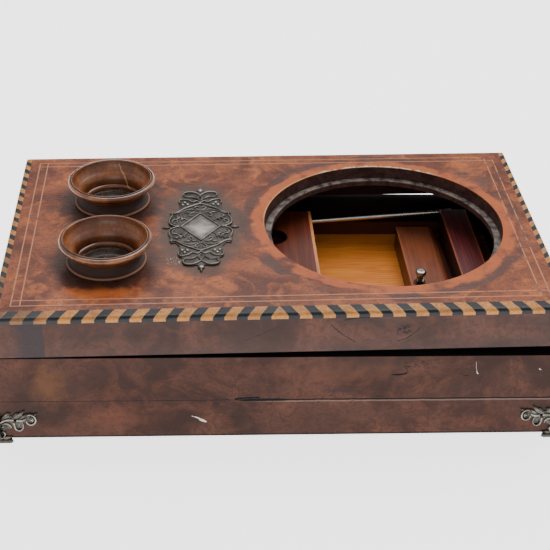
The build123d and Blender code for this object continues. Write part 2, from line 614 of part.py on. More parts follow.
def build_lens_panel():
    """The lid, built shut. Each node is turned ajar by the caller."""
    nodes = {}
    opening = rod(OPENING_X, OPENING_Y, LID_TOP - OPENING_REBATE, OPENING_RADIUS, OPENING_REBATE + 1)
    opening += rod(OPENING_X, OPENING_Y, LENS_BOARD_BOTTOM - 1, OPENING_RADIUS - LEDGE_WIDTH, LID_BOARD)
    board = block((LEFT, RIGHT), (FRONT, BACK), (LENS_BOARD_BOTTOM, LID_TOP)) - opening
    rope_front, rope_left, rope_right, rope_room = rope_bars()
    board -= rope_room
    outer, inner = string_lines()
    board = board - outer - inner
    retainers = []
    for y_name, way in SIDES.items():
        place = Pos(EYE_X, way * EYE_SPACING / 2, LID_TOP)
        board -= place * Pos(0, 0, -LID_BOARD / 2) * Cylinder(SPIGOT_RADIUS, LID_BOARD + 1)
        nodes[f"eyepiece_cup_{y_name}"] = place * eyepiece_cup()
        nodes[f"eyepiece_lens_{y_name}"] = place * eyepiece_lens()
        retainers.append(place * lens_retainer())
    nodes["lens_retainers"] = together(retainers)
    nodes["lens_board"] = board
    nodes["rope_inlay_front"] = rope_front
    nodes["rope_inlay_left"] = rope_left
    nodes["rope_inlay_right"] = rope_right
    nodes["stringing_outer"] = outer
    nodes["stringing_inner"] = inner
    nodes["pierced_mount"] = pierced_mount()

    screws = []
    for way in SIDES.values():
        for x, y in leaf_screw_places(way * HINGE_Y):
            screws.append(wood_screw(x, y, LID_BOTTOM, down=False))
    for side, rail in mitred_frame(LID_BOTTOM, LID_HEIGHT - LID_BOARD).items():
        if side == "left":
            for way in SIDES.values():
                rail -= hinge_recess(way * HINGE_Y, above=True)
            for screw in screws:
                rail -= screw
        nodes[f"lid_{side}_rail"] = rail
    for y_name, way in SIDES.items():
        leaf = hinge_leaf(way * HINGE_Y, above=True)
        for screw in screws:
            leaf -= screw
        nodes[f"lid_hinge_leaf_{y_name}"] = leaf
    nodes["lid_hinge_screws"] = together(screws)

    x, z = strut_pivot()
    half = STRUT_WIDTH / 2
    bracket = []
    for way in SIDES.values():
        span = sorted((way * (half + FREE), way * (half + FREE + 2.5)))
        cheek = block((x - 5, x + 5), span, (z - 4, LENS_BOARD_BOTTOM))
        bracket.append(cheek - cross_rod(x, z, span, PIN_RADIUS))
    nodes["strut_bracket"] = together(bracket)
    pin_half = half + FREE + 2.5
    nodes["strut_pin"] = cross_rod(x, z, (-pin_half, pin_half), PIN_RADIUS)
    return nodes


def build_all():
    nodes = build_case()
    nodes |= build_sight_board()
    nodes |= build_carriage()
    nodes |= build_button()
    nodes |= build_card_rest()
    lid = build_lens_panel() | build_strut()
    nodes |= {name: solid.rotate(LID_HINGE, LID_AJAR) for name, solid in lid.items()}
    return nodes


os.makedirs("parts", exist_ok=True)
for node_name, solid in build_all().items():
    export_step(solid, f"parts/{node_name}.step")
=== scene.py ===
# %% [markdown]
# This lesson dresses a folding stereo graphoscope: a veneered box whose lid carries two turned
# eyepieces, a cast metal ornament and a large round opening over a card carriage.
# The solid parts come ready made, in metres, and stay where they are. Blender adds the finishes,
# the turned cups and the cast ornaments, so every place below is read from the loaded part.

# %% Load the part
import json
import math

import bmesh
import bpy
import numpy as np
from mathutils import Matrix, Vector


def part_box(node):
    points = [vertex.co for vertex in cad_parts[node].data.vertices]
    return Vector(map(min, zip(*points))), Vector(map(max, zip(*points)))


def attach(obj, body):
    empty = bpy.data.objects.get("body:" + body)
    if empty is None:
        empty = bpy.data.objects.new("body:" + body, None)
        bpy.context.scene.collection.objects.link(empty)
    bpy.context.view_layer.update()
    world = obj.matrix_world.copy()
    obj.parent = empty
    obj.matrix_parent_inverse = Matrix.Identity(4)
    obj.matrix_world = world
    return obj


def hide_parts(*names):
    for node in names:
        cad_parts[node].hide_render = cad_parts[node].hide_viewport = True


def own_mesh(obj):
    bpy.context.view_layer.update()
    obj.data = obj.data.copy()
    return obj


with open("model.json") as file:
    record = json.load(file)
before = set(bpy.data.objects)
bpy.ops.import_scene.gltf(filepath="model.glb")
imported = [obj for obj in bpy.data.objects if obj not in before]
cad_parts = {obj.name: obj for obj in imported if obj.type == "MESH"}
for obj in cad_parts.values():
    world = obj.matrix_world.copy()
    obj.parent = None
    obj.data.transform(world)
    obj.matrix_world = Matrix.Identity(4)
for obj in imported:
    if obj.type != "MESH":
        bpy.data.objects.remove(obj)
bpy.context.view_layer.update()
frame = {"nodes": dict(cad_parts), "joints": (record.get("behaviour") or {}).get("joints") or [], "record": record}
nodes = frame["nodes"]
joints = {joint["name"]: joint for joint in frame["joints"]}
MM = 0.001

# %% [markdown]
# The lid rests slightly ajar, so it is turned about its hinge by the angle that is left to shut it.
# It is easier to draw on a lid that lies level. The helpers here go between a point on the level lid
# and the same point on the lid as it rests, and they measure a node as if the lid were shut.

# %% The level lid
hinge = Vector(joints["lens_panel_hinge"]["pos_m"])
AJAR = -math.radians(joints["lens_panel_hinge"]["range_deg"][0])
open_lid = Matrix.Translation(hinge) @ Matrix.Rotation(-AJAR, 4, "Y") @ Matrix.Translation(-hinge)
shut_lid = open_lid.inverted()


def level_box(name):
    """Lowest and highest corner of a lid node, measured with the lid shut."""
    corners = [shut_lid @ v.co for v in nodes[name].data.vertices]
    low = Vector([min(c[i] for c in corners) for i in range(3)])
    high = Vector([max(c[i] for c in corners) for i in range(3)])
    return low, high


seat = next(m for m in frame["record"]["mounts"] if m["name"] == "lens_seat")
opening = shut_lid @ Vector(seat["pos_m"])
opening_radius = seat["dims"]["r_mm"] * MM
LID_TOP = level_box("lens_board")[1].z
LEDGE = LID_TOP - seat["dims"]["length_mm"] * MM
tray_low, tray_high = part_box("tray_front_board")
plinth_low, plinth_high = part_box("plinth_left_board")
HALF_LENGTH = tray_high.x
HALF_DEPTH = -tray_low.y
JOINT = plinth_high.z
WALL = tray_high.y - tray_low.y
print("lid top", round(LID_TOP, 4), "opening", [round(v, 4) for v in opening], "joint", round(JOINT, 4))

# %% [markdown]
# A finish is a network of shader nodes. Written as Python expressions it reads like a recipe:
# the class below wraps one number of the network, so that 1 - mask or grain * 0.3 adds the Math nodes.

# %% Shader numbers
class Num:
    """A number that the shader works out for every point of a surface."""

    def __init__(self, finish, socket):
        self.finish = finish
        self.socket = socket

    def sum(self, operation, *values):
        return self.finish.node("ShaderNodeMath", {"operation": operation}, values)

    def __add__(self, other):
        return self.sum("ADD", self, other)

    __radd__ = __add__

    def __sub__(self, other):
        return self.sum("SUBTRACT", self, other)

    def __rsub__(self, other):
        return self.sum("SUBTRACT", other, self)

    def __mul__(self, other):
        return self.sum("MULTIPLY", self, other)

    __rmul__ = __mul__

    def __truediv__(self, other):
        return self.sum("DIVIDE", self, other)

    def __rtruediv__(self, other):
        return self.sum("DIVIDE", other, self)

    def __pow__(self, other):
        return self.sum("POWER", self, other)

    def __abs__(self):
        return self.sum("ABSOLUTE", self)

    def least(self, other):
        return self.sum("MINIMUM", self, other)

    def most(self, other):
        return self.sum("MAXIMUM", self, other)

    def ramp(self, low, high):
        """0 at low and 1 at high, eased between. With low above high it falls instead."""
        limits = {"Value": self, "From Min": low, "From Max": high}
        return self.finish.node("ShaderNodeMapRange", {"interpolation_type": "SMOOTHSTEP"}, limits)

    def near(self, middle, reach, soft):
        """1 within reach of a value, fading out over soft."""
        return abs(self - middle).ramp(reach + soft, reach)


# %% [markdown]
# The finish itself: a material with one Principled shader. A texture is asked for by name and size of
# its features in millimetres, and answers with a Num. Colours are mixed through Mix nodes.

# %% Finishes
def tint(red, green, blue):
    """A colour given as it looks on a screen, 0 to 255, as the shader's linear colour."""
    linear = []
    for part in (red, green, blue):
        share = part / 255
        linear.append(share / 12.92 if share <= 0.04045 else ((share + 0.055) / 1.055) ** 2.4)
    return (*linear, 1.0)


class Finish:
    """A material under construction. Numbers that are the same everywhere are set on the shader itself."""

    def __init__(self, name, **constants):
        self.material = bpy.data.materials.new(name)
        self.material.use_nodes = True
        self.tree = self.material.node_tree
        self.shader = self.tree.nodes["Principled BSDF"]
        for socket, value in constants.items():
            self.shader.inputs[socket.replace("_", " ")].default_value = value
        self.point = self.node("ShaderNodeTexCoord", out="Object")

    def node(self, kind, settings=None, inputs=(), out=0):
        """Any node: its settings first, then the values or links of its sockets."""
        made = self.tree.nodes.new(kind)
        for name, value in (settings or {}).items():
            setattr(made, name, value)
        pairs = inputs.items() if isinstance(inputs, dict) else enumerate(inputs)
        for key, value in pairs:
            self.fill(made.inputs[key], value)
        return Num(self, made.outputs[out])

    def fill(self, socket, value):
        if isinstance(value, Num):
            self.tree.links.new(value.socket, socket)
        else:
            socket.default_value = value

    def set(self, **values):
        """Links or sets sockets of the shader."""
        for name, value in values.items():
            self.fill(self.shader.inputs[name.replace("_", " ")], value)

    def split(self, vector):
        parts = self.node("ShaderNodeSeparateXYZ", inputs=[vector])
        return [Num(self, socket) for socket in parts.socket.node.outputs]

    def join(self, x, y, z):
        return self.node("ShaderNodeCombineXYZ", inputs=[x, y, z])

    def stretch(self, vector, factors):
        """The vector with its parts multiplied: a large factor squeezes a texture along that axis."""
        return self.node("ShaderNodeVectorMath", {"operation": "MULTIPLY"}, [vector, factors])

    def shift(self, vector, offset):
        return self.node("ShaderNodeVectorMath", {"operation": "ADD"}, [vector, offset])

    def noise(self, vector, size, detail=3.0, roughness=0.55, swirl=0.0):
        """Cloudy noise, about 0.3 to 0.7, with features about size millimetres across."""
        inputs = {"Vector": vector, "Scale": 1 / (size * MM), "Detail": detail, "Roughness": roughness,
                  "Distortion": swirl}
        return self.node("ShaderNodeTexNoise", inputs=inputs)

    def cells(self, vector, size):
        """Distance to scattered points that are about size millimetres apart."""
        return self.node("ShaderNodeTexVoronoi", inputs={"Vector": vector, "Scale": 1 / (size * MM)})

    def mix(self, share, first, second):
        """A colour between two others. The Mix node's colours are its sockets 6 and 7, its answer 2."""
        return self.node("ShaderNodeMix", {"data_type": "RGBA"}, {0: share, 6: first, 7: second}, out=2)

    def coats(self, colour, *coats):
        """The colour under thin coats, each given as its share and its tint."""
        for share, tone in coats:
            colour = self.mix(share, colour, tint(*tone))
        return colour

    def bump(self, height, depth):
        """Raises the surface by height times depth millimetres."""
        return self.node("ShaderNodeBump", inputs={"Height": height, "Distance": depth * MM, "Strength": 1.0})

    def stored(self, name):
        """A number kept on the mesh."""
        return self.node("ShaderNodeAttribute", {"attribute_name": name}, out="Fac")

    def level(self):
        """The point's place with the lid shut."""
        inputs = {"Vector": self.point, "Center": hinge, "Angle": AJAR}
        return self.node("ShaderNodeVectorRotate", {"rotation_type": "Y_AXIS"}, inputs)


def far_from(x, y, centre):
    """Distance along the lid from a centre."""
    across = x - centre[0]
    along = y - centre[1]
    return (across * across + along * along) ** 0.5


def strongest(masks):
    """At every point, the largest of several masks."""
    whole = masks[0]
    for mask in masks[1:]:
        whole = whole.most(mask)
    return whole


def dress(finish, slot_name, *names):
    """Gives a finish to whole nodes of the part."""
    for name in names:
        if not nodes[name].material_slots:
            nodes[name].data.materials.append(None)
        for holder in nodes[name].material_slots:
            holder.material = finish.material
    print(f"{finish.material.name}: {len(names)} nodes")


# %% [markdown]
# The whole box is faced in burr walnut: clouds of red brown with orange flame and dark patches,
# under an old wax polish that has gone dull and grey at the front. One function makes that figure,
# from large clouds, a swirled middle size and fine pores, and the lid and the case both use it.

# %% Burr veneer
def burr_figure(finish, place, deep, body, flame, fire=0.75):
    """Colour and relief of the burr: (colour, height)."""
    clouds = finish.noise(place, 42, detail=4, swirl=0.7).ramp(0.36, 0.64)
    licks = finish.noise(finish.shift(place, (0.31, 0.17, 0.05)), 24, detail=5, swirl=1.6)
    curls = finish.noise(finish.shift(place, (0.7, 0.4, 0.2)), 9, detail=6, roughness=0.65, swirl=2.2)
    pores = finish.noise(place, 1.3, detail=3, roughness=0.7)
    eyes = finish.cells(place, 11).ramp(0.16, 0.05)
    colour = finish.mix(clouds, deep, body)
    colour = finish.mix(licks.ramp(0.48, 0.68) * fire, colour, flame)
    colour = finish.mix(curls.ramp(0.58, 0.34) * 0.55, colour, deep)
    colour = finish.mix(eyes * 0.35, colour, deep)
    colour = finish.mix(pores.ramp(0.52, 0.36) * 0.35, colour, tint(46, 28, 24))
    return colour, curls * 0.35 + pores * 0.2


def worn_wax(finish, place):
    """Roughness of old polish: scuffs and dull clouds."""
    scuffs = finish.noise(finish.stretch(place, (1, 5, 5)), 6, detail=5, roughness=0.7)
    return finish.noise(place, 30).ramp(0.3, 0.7) * 0.16 + scuffs.ramp(0.35, 0.7) * 0.14 + 0.24


def warm_patch(finish, x, z, centre, size):
    """A soft ragged oval, for example where the polish has been rubbed through to orange wood."""
    wide = (x - centre[0]) / size[0]
    tall = (z - centre[1]) / size[1]
    ragged = finish.noise(finish.point, 8, detail=5, roughness=0.65) * 2.4 - 1.2
    return ((wide * wide + tall * tall) ** 0.5 + ragged).ramp(1.3, 0.1)


def scar(x, z, start, end, sag, frayed, width=0.0004):
    """A curved crack from start to end. sag bows it, and the frayed noise makes its edges uneven."""
    along = (x - start[0]) / (end[0] - start[0])
    line = along * (end[1] - start[1]) + start[1] + along * (1 - along) * 4 * sag
    thick = (frayed - 0.35) * width * 4
    return (abs(z - line) - thick).ramp(0.0002, -0.0002) * along.near(0.5, 0.49, 0.02)


def scars(x, z, frayed, *cracks):
    """Several cracks, each given as its start, end, sag and, if it isn't the usual one, width."""
    return strongest([scar(x, z, *crack[:3], frayed, *crack[3:]) for crack in cracks])


# %% [markdown]
# The lid's top is not one tone. It is painted darker round the eyepieces, as the shade that they cast on it,
# and darker round the metal ornament, and the veneer is bright and rubbed along the rim of the large opening,
# where a few chips show the pale wood beneath. Each of these is a mask measured from a centre on the level lid.

# %% The lid
lid_finish = Finish("burr_lid", Coat_Roughness=0.22, Specular_IOR_Level=0.16)
lid_point = lid_finish.level()
lid_x, lid_y, lid_z = lid_finish.split(lid_point)
top_tints = [tint(92, 46, 32), tint(150, 82, 52), tint(188, 104, 52)]
top_colour, top_relief = burr_figure(lid_finish, lid_point, *top_tints)

cup_low, cup_high = level_box("eyepiece_cup_front")
cup_place = (cup_low + cup_high) / 2
mount_low, mount_high = level_box("pierced_mount")
mount_place = (mount_low + mount_high) / 2
blur = lid_finish.noise(lid_point, 13, detail=3) * 0.028 - 0.014
cup_centres = [(cup_place.x, way * abs(cup_place.y)) for way in (-1, 1)]
# cup_shade is painted shade: the lid is painted darker round each eyepiece.
cup_shade = strongest([(far_from(lid_x, lid_y, centre) + blur).ramp(0.047, 0.029) for centre in cup_centres])
across = (lid_x - mount_place.x) * 2.0
along = lid_y - mount_place.y
mount_shade = ((across * across + along * along) ** 0.5 + blur).ramp(0.072, 0.05)
top_colour = lid_finish.coats(
    top_colour, (cup_shade * 0.82, (52, 32, 28)), (mount_shade * 0.85, (72, 60, 54)))

rim = far_from(lid_x, lid_y, opening) - opening_radius
glow = (rim + blur * 0.3).ramp(0.0090, 0.0065)
rubbed = lid_finish.noise(lid_point, 18, detail=3).ramp(0.34, 0.52)
smudge = (rim + blur * 0.4).near(0.0125, 0.002, 0.0035) * lid_finish.noise(lid_point, 22).ramp(0.42, 0.54)
gaps = lid_finish.noise(lid_point, 5, detail=4, roughness=0.7)
back_arc = (lid_x - opening.x).near(0.004, 0.036, 0.012) * (lid_y - opening.y).ramp(0.03, 0.05)
chips = (rim - (gaps - 0.42) * 0.012).ramp(0.0004, 0) * back_arc
left_arc = (lid_x - opening.x).ramp(-0.02, -0.035) * (lid_y - opening.y).ramp(-0.01, 0.02)
gilt = (rim - gaps * 0.0012).ramp(0.0004, 0) * left_arc
flame_bar = warm_patch(lid_finish, lid_x, lid_y, (cup_place.x, -0.081), (0.034, 0.009))
corner_mark = warm_patch(lid_finish, lid_x, lid_y, (0.154, 0.062), (0.008, 0.015))
crumbs = lid_finish.noise(lid_point, 1.5, detail=3).ramp(0.60, 0.64)
crumbs = crumbs * (lid_x + 0.067).near(0, 0.004, 0.004) * (lid_y + 0.042).near(0, 0.0025, 0.003)
scratches = lid_finish.noise(lid_finish.stretch(lid_point, (1, 14, 1)), 14, detail=5, roughness=0.75)
scratches = scratches.near(0.5, 0.004, 0.004)
top_colour = lid_finish.coats(
    top_colour, (glow * rubbed * 0.7, (188, 94, 46)), (smudge * 0.85, (74, 50, 46)),
    (gilt * 0.8, (206, 150, 92)), (chips, (205, 182, 150)), (flame_bar * 0.6, (186, 96, 38)),
    (corner_mark * 0.7, (96, 62, 52)),
    (crumbs, (226, 206, 178)), (scratches * 0.18, (196, 160, 136)))
print("eyepiece at", [round(v, 4) for v in cup_place], "ornament at", [round(v, 4) for v in mount_place])

# %% [markdown]
# The sides of lid and case are darker than the top and greyer, because less light and more dirt reach
# them: painted shade and dirt. Their inner faces are plain and painted nearly black, as shade, so the same
# finish asks how far a point lies inside the outer faces, and swaps the colour there.

# %% Sides
def side_figure(finish, place):
    """Colour and relief of an outer side."""
    colour, relief = burr_figure(finish, place, tint(50, 29, 23), tint(88, 54, 43), tint(108, 64, 43), 0.35)
    grime = finish.noise(finish.stretch(place, (0.5, 1, 1.6)), 30, detail=4).ramp(0.42, 0.7)
    return finish.mix(grime * 0.5, colour, tint(58, 40, 35)), relief


def inside_of(x, y):
    """How far a point lies inside the outer faces of the box."""
    return (HALF_LENGTH - abs(x)).least(HALF_DEPTH - abs(y))


WALL_BACK = (WALL * 0.9, WALL * 0.98)
lid_side, _ = side_figure(lid_finish, lid_point)
depth_in = inside_of(lid_x, lid_y)
rail_foot = level_box("lid_front_rail")[0].z
# Painted shade: the lid's inner faces and its underside get a nearly black colour, and no polish.
bare_and_shaded = depth_in.ramp(*WALL_BACK)
lid_inner_shade = lid_finish.mix(lid_finish.noise(lid_point, 14), tint(20, 13, 13), tint(40, 24, 20))
underneath = (lid_z - rail_foot).ramp(0.0004, 0.0001)
bare_and_shaded = bare_and_shaded.most(underneath)
front_low = (lid_z - LID_TOP).ramp(-0.013, -0.0285)
leaf_shade = lid_x.ramp(-0.1482, -0.1486) * lid_x.ramp(-0.170, -0.160) * lid_y.ramp(0, -0.09)
frayed = lid_finish.noise(lid_point, 3, detail=5, roughness=0.7)
lifted = scars(lid_x, lid_z, frayed, ((0.028, 0.0865), (0.044, 0.0725), -0.0012),
               ((0.0705, 0.0722), (0.085, 0.0825), -0.0022), ((0.037, 0.0888), (0.053, 0.0905), 0.0006))
lifted = lifted.most(scar(lid_x, lid_z, (-0.025, 0.0755), (-0.004, 0.0855), -0.0006, frayed) * 0.5)
torn = (lid_x - 0.0745).near(0, 0.002, 0.004) * (lid_z - 0.0808).near(0, 0.001, 0.004)
lifted = lifted.most(torn * frayed.ramp(0.46, 0.52)) * lid_y.ramp(0, -0.09)
lid_side = lid_finish.coats(
    lid_side, (front_low * 0.2, (80, 62, 58)), (leaf_shade * 0.75, (38, 35, 40)), (lifted, (22, 15, 15)))

well = rim.ramp(0.00025, 0)
below = (lid_z - LID_TOP).ramp(-0.00005, -0.0004)
dust = lid_finish.noise(lid_point, 7, detail=5, roughness=0.7).ramp(0.36, 0.62)
wall_colour = lid_finish.mix(dust * 0.5, tint(62, 38, 36), tint(98, 74, 68))
ledge_colour = lid_finish.mix(dust, tint(60, 52, 50), tint(128, 116, 110))
on_ledge = (lid_z - LEDGE).near(0, 0.0004, 0.0003) * rim.ramp(-0.0004, -0.0009)
well_colour = lid_finish.mix(on_ledge, wall_colour, ledge_colour)

on_top = (lid_z - LID_TOP).ramp(-0.0006, -0.0002)
in_well = well * below
colour = lid_finish.mix(bare_and_shaded, lid_side, lid_inner_shade)
colour = lid_finish.mix(in_well, colour, well_colour)
colour = lid_finish.mix(on_top, colour, top_colour)
polish = 1 - in_well.most(bare_and_shaded * (1 - on_top))
relief = top_relief - chips * 1.5 - scratches * 0.3 - lifted * 3
lid_finish.set(Base_Color=colour, Coat_Weight=polish * (on_top * 0.13 + 0.05))
lid_finish.set(Roughness=worn_wax(lid_finish, lid_point) + (1 - polish) * 0.35)
lid_finish.set(Normal=lid_finish.bump(relief, 0.12))
SIDES = ("front", "back", "left", "right")
dress(lid_finish, "burr_veneer", "lens_board", *(f"lid_{side}_rail" for side in SIDES))

# %% [markdown]
# The case's own boards. The joint between plinth and tray has opened into a ragged crack, the veneer
# has lost small chips beside it, and the front has an orange patch near the left foot. The tray's
# inner walls are brown low down and painted almost black above, as shade, and so are the top edges of its boards.

# %% The case
case_finish = Finish("burr_case", Coat_Roughness=0.25, Specular_IOR_Level=0.08)
case_x, case_y, case_z = case_finish.split(case_finish.point)
case_colour, case_relief = side_figure(case_finish, case_finish.point)
for centre, size, share, tone in (
        ((-0.1475, 0.044), (0.011, 0.017), 0.55, (104, 67, 38)),
        ((-0.105, 0.017), (0.030, 0.009), 0.35, (104, 60, 41)),
        ((0.036, 0.052), (0.050, 0.010), 0.35, (106, 66, 49)),
        ((0.038, 0.0385), (0.012, 0.0022), 0.8, (50, 36, 38))):
    patch = warm_patch(case_finish, case_x, case_z, centre, size)
    case_colour = case_finish.mix(patch * share, case_colour, tint(*tone))

run = case_finish.noise(case_finish.join(case_x, 0, 0), 16, detail=5, roughness=0.7)
wander = (run - 0.5) * 0.0016
opened = case_x.near(-0.0115, 0.008, 0.010) * 0.0007 + case_x.ramp(-0.04, -0.02) * 0.00025 + 0.00012
crack = (abs(case_z - JOINT - wander) / opened).ramp(1.3, 0.7)
nibbled = case_finish.noise(case_finish.stretch(case_finish.point, (1, 1, 2)), 3.0, detail=4, roughness=0.7)
nibbled = nibbled.ramp(0.61, 0.66)
nibble_zone = (case_z - JOINT).near(0, 0.002, 0.003) * case_x.near(0.0, 0.05, 0.03)
tray_chip = nibbled * (case_x - 0.088).near(0, 0.009, 0.004) * (case_z - 0.058).near(0, 0.0035, 0.002)
fray = case_finish.noise(case_finish.point, 3, detail=5, roughness=0.7)
on_front = case_y.ramp(0, -0.09)
split = scars(
    case_x, case_z, fray, ((-0.0305, 0.0325), (-0.0150, 0.0336), 0.0002, 0.0007),
    ((-0.0150, 0.0335), (-0.0045, 0.0318), -0.0045), ((0.069, 0.0508), (0.079, 0.0520), -0.0006, 0.0007),
    ((0.0765, 0.0575), (0.0795, 0.0525), 0.0012), ((0.1135, 0.0520), (0.1185, 0.0500), -0.0014))
black = crack.most(nibbled * nibble_zone * 0.8).most(tray_chip).most(split * on_front)
case_colour = case_finish.mix(black, case_colour, tint(14, 9, 10))
lip = (case_z - JOINT - wander + 0.0014).near(0, 0.0003, 0.0005) * case_x.ramp(-0.03, 0.0)
nicks = on_front * scars(
    case_x, case_z, fray, ((-0.0580, 0.0188), (-0.0482, 0.0140), 0.0003, 0.0006),
    ((-0.0535, 0.0160), (-0.0490, 0.0142), 0.0, 0.0009),
    ((0.1226, 0.0600), (0.1252, 0.0512), -0.0030, 0.0009),
    ((0.1640, 0.0544), (0.1656, 0.0534), 0.0, 0.0006))
# The lowest two millimetres of the case are painted nearly black.
bottom_band = (case_z - plinth_low.z).ramp(0.0022, 0.0006)
case_colour = case_finish.coats(
    case_colour, (lip * 0.3, (156, 134, 124)), (nicks, (214, 200, 190)), (bottom_band * 0.85, (26, 20, 20)))

# Painted shade: the top edges of the tray's boards, and its inner walls above the brown lower band, are painted
# nearly black.
tray_rim = case_z.ramp(tray_high.z - 0.0003, tray_high.z - 0.0001)
inward = inside_of(case_x, case_y).ramp(*WALL_BACK).most(tray_rim)
wall_mottle = case_finish.noise(case_finish.stretch(case_finish.point, (0.3, 0.3, 1)), 9, detail=4)
low_wall = (case_z + (wall_mottle - 0.5) * 0.004).ramp(0.0475, 0.0455)
wall_in = case_finish.mix(wall_mottle, tint(16, 12, 13), tint(30, 20, 19))
wall_in = case_finish.mix(low_wall, wall_in, tint(84, 47, 34))
case_colour = case_finish.mix(inward, case_colour, wall_in)
case_finish.set(Base_Color=case_colour, Coat_Weight=(1 - inward) * (1 - black) * 0.06)
case_finish.set(Roughness=worn_wax(case_finish, case_finish.point) + inward * 0.5)
case_finish.set(Normal=case_finish.bump(case_relief - black * 4, 0.12))
case_boards = [f"{layer}_{side}_board" for layer in ("tray", "plinth") for side in SIDES]
dress(case_finish, "burr_veneer", *case_boards)

# %% [markdown]
# Rope inlay is made by gluing slanted slips of dark and pale wood into a bar and letting it into the
# edge. It runs over the rounded edge, so the stripes follow the way along the bar plus the way down
# round it. The slips lean the other way left of the middle, which leaves an arrowhead there.

# %% Rope inlay
def rope_finish(name, pitch, lean, run, around, dark, pale):
    """Slanted slips: run is measured along the bar, around over its rounded edge."""
    finish = Finish(name, Coat_Weight=0.1, Coat_Roughness=0.3, Specular_IOR_Level=0.25)
    x, y, z = finish.split(finish.level())
    along = run(x, y)
    ragged = finish.noise(finish.level(), 5, detail=4) * 0.0012
    phase = (along + around(x, y, z) * lean + ragged) / pitch
    stripe = finish.node("ShaderNodeMath", {"operation": "FRACT"}, [phase])
    shade = stripe.near(0.58, 0.24, 0.02)
    vein = stripe.near(0.33, 0.0, 0.03).most(stripe.near(0.83, 0.0, 0.03))
    grain = finish.noise(finish.stretch(finish.point, (1, 1, 3)), 1.8, detail=5, roughness=0.7)
    pale_colour = finish.mix(grain.ramp(0.35, 0.65), tint(*pale[0]), tint(*pale[1]))
    dark_colour = finish.mix(grain.ramp(0.3, 0.7), tint(*dark[0]), tint(*dark[1]))
    stained = finish.noise(finish.point, 16, detail=3).ramp(0.5, 0.68)
    pale_colour = finish.mix(stained * 0.45, pale_colour, tint(122, 76, 44))
    colour = finish.mix(shade, pale_colour, dark_colour)
    colour = finish.mix(vein * 0.35, colour, tint(206, 160, 104))
    # Painted shade: the ropes are painted darker at the left end, on the front half.
    left_end_shade = x.ramp(-0.135, -0.158) * y.ramp(0, -0.08)
    colour = finish.mix(left_end_shade * 0.6, colour, tint(44, 40, 42))
    finish.set(Base_Color=colour, Roughness=worn_wax(finish, finish.point) + 0.08)
    finish.set(Normal=finish.bump(grain * 0.4 - vein * 0.6, 0.15))
    return finish


EBONY = ((10, 11, 15), (26, 26, 32))
BOXWOOD = ((158, 98, 42), (200, 136, 66))
front_edge = -HALF_DEPTH
front_rope = rope_finish("rope_front", 0.0145, 0.5, lambda x, y: abs(x + 0.003),
                         lambda x, y, z: ((y - front_edge) + (z - LID_TOP)).most(-0.002), EBONY, BOXWOOD)
dress(front_rope, "rope_inlay", "rope_inlay_front")
side_rope = rope_finish("rope_sides", 0.0118, 0.9, lambda x, y: y,
                        lambda x, y, z: (HALF_LENGTH - abs(x)) + (z - LID_TOP), EBONY, BOXWOOD)
dress(side_rope, "rope_inlay", "rope_inlay_left", "rope_inlay_right")

# %% [markdown]
# The fine lines are boxwood stringing, under a millimetre wide. Dirt fills them and pieces are gone,
# most of all at the right end, so a mask turns stretches of the line to the colour of an empty groove.

# %% Stringing
stringing = Finish("stringing", Coat_Weight=0.2, Coat_Roughness=0.3)
string_x = stringing.split(stringing.point)[0]
wear = stringing.noise(stringing.point, 12, detail=4, roughness=0.65)
gone = (wear + string_x.ramp(0.12, 0.17) * 0.10).ramp(0.64, 0.68)
string_colour = stringing.mix(stringing.noise(stringing.point, 3), tint(150, 86, 48), tint(190, 124, 72))
string_colour = stringing.mix(gone, string_colour, tint(74, 44, 34))
stringing.set(Base_Color=string_colour, Roughness=stringing.noise(stringing.point, 4) * 0.3 + 0.25)
stringing.set(Normal=stringing.bump(1 - gone, 0.1))
dress(stringing, "stringing", "stringing_outer", "stringing_inner")

# %% [markdown]
# Plain boards have straight grain: a noise squeezed hard across the board becomes long fibres, and a
# second, wider one gives the broad bands that a saw cuts out of the tree's rings. The floor is clean
# orange softwood, the sight board and carriage are stained, and each board runs its own way.

# %% Straight-grained boards
def board_finish(name, along, deep, pale, bands=9.0, coat=0.2, rough=0.42, edge=None):
    """A plain board. along is the axis that its grain follows, x or y."""
    finish = Finish(name, Coat_Weight=coat, Coat_Roughness=0.3, Specular_IOR_Level=0.25)
    long_way = (0.045, 1, 1) if along == "x" else (1, 0.045, 1)
    place = finish.stretch(finish.point, long_way)
    fibres = finish.noise(place, 0.7, detail=4, roughness=0.7)
    rings = finish.noise(place, bands, detail=3, swirl=0.6)
    ring_lines = finish.node("ShaderNodeMath", {"operation": "SINE"}, [rings * 46]) * 0.5 + 0.5
    blush = finish.noise(finish.point, 34, detail=3)
    colour = finish.mix(ring_lines * 0.55 + fibres.ramp(0.3, 0.7) * 0.35, tint(*pale), tint(*deep))
    colour = finish.mix(blush.ramp(0.5, 0.7) * 0.4, colour, tint(*deep))
    if edge is not None:
        colour = edge(finish, colour)
    finish.set(Base_Color=colour, Roughness=fibres * 0.2 + blush * 0.16 + (rough - 0.18))
    finish.set(Normal=finish.bump(fibres * 0.6 + ring_lines * 0.25, 0.12))
    return finish


dress(board_finish("floor_pine", "x", (184, 98, 34), (222, 138, 58), bands=7, coat=0.1, rough=0.4),
      "plain_wood", "tray_floor")
dress(board_finish("bottom_pine", "x", (92, 58, 36), (128, 86, 56), coat=0.0, rough=0.6),
      "plain_wood", "bottom_board")
dress(board_finish("store_sides", "x", (70, 38, 26), (104, 60, 40), coat=0.0, rough=0.5),
      "plain_wood", "card_store_sides")


def sight_edges(finish, colour):
    """The wall of each hole in the sight board and the board's lower edge are painted nearly black, as shade."""
    x, y, z = finish.split(finish.point)
    low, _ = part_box("sight_board")
    holes = [hole for hole in frame["record"]["physics"]["openings"] if hole["name"].startswith("sight_hole")]
    centres = [[(a + b) / 2 for a, b in zip(*hole["box_m"])] for hole in holes]
    hollow = strongest([far_from(x, y, centre).ramp(0.0112, 0.0098) for centre in centres])
    underside = z.ramp(low.z + 0.0035, low.z + 0.001)
    return finish.mix(hollow.most(underside), colour, tint(24, 15, 14))


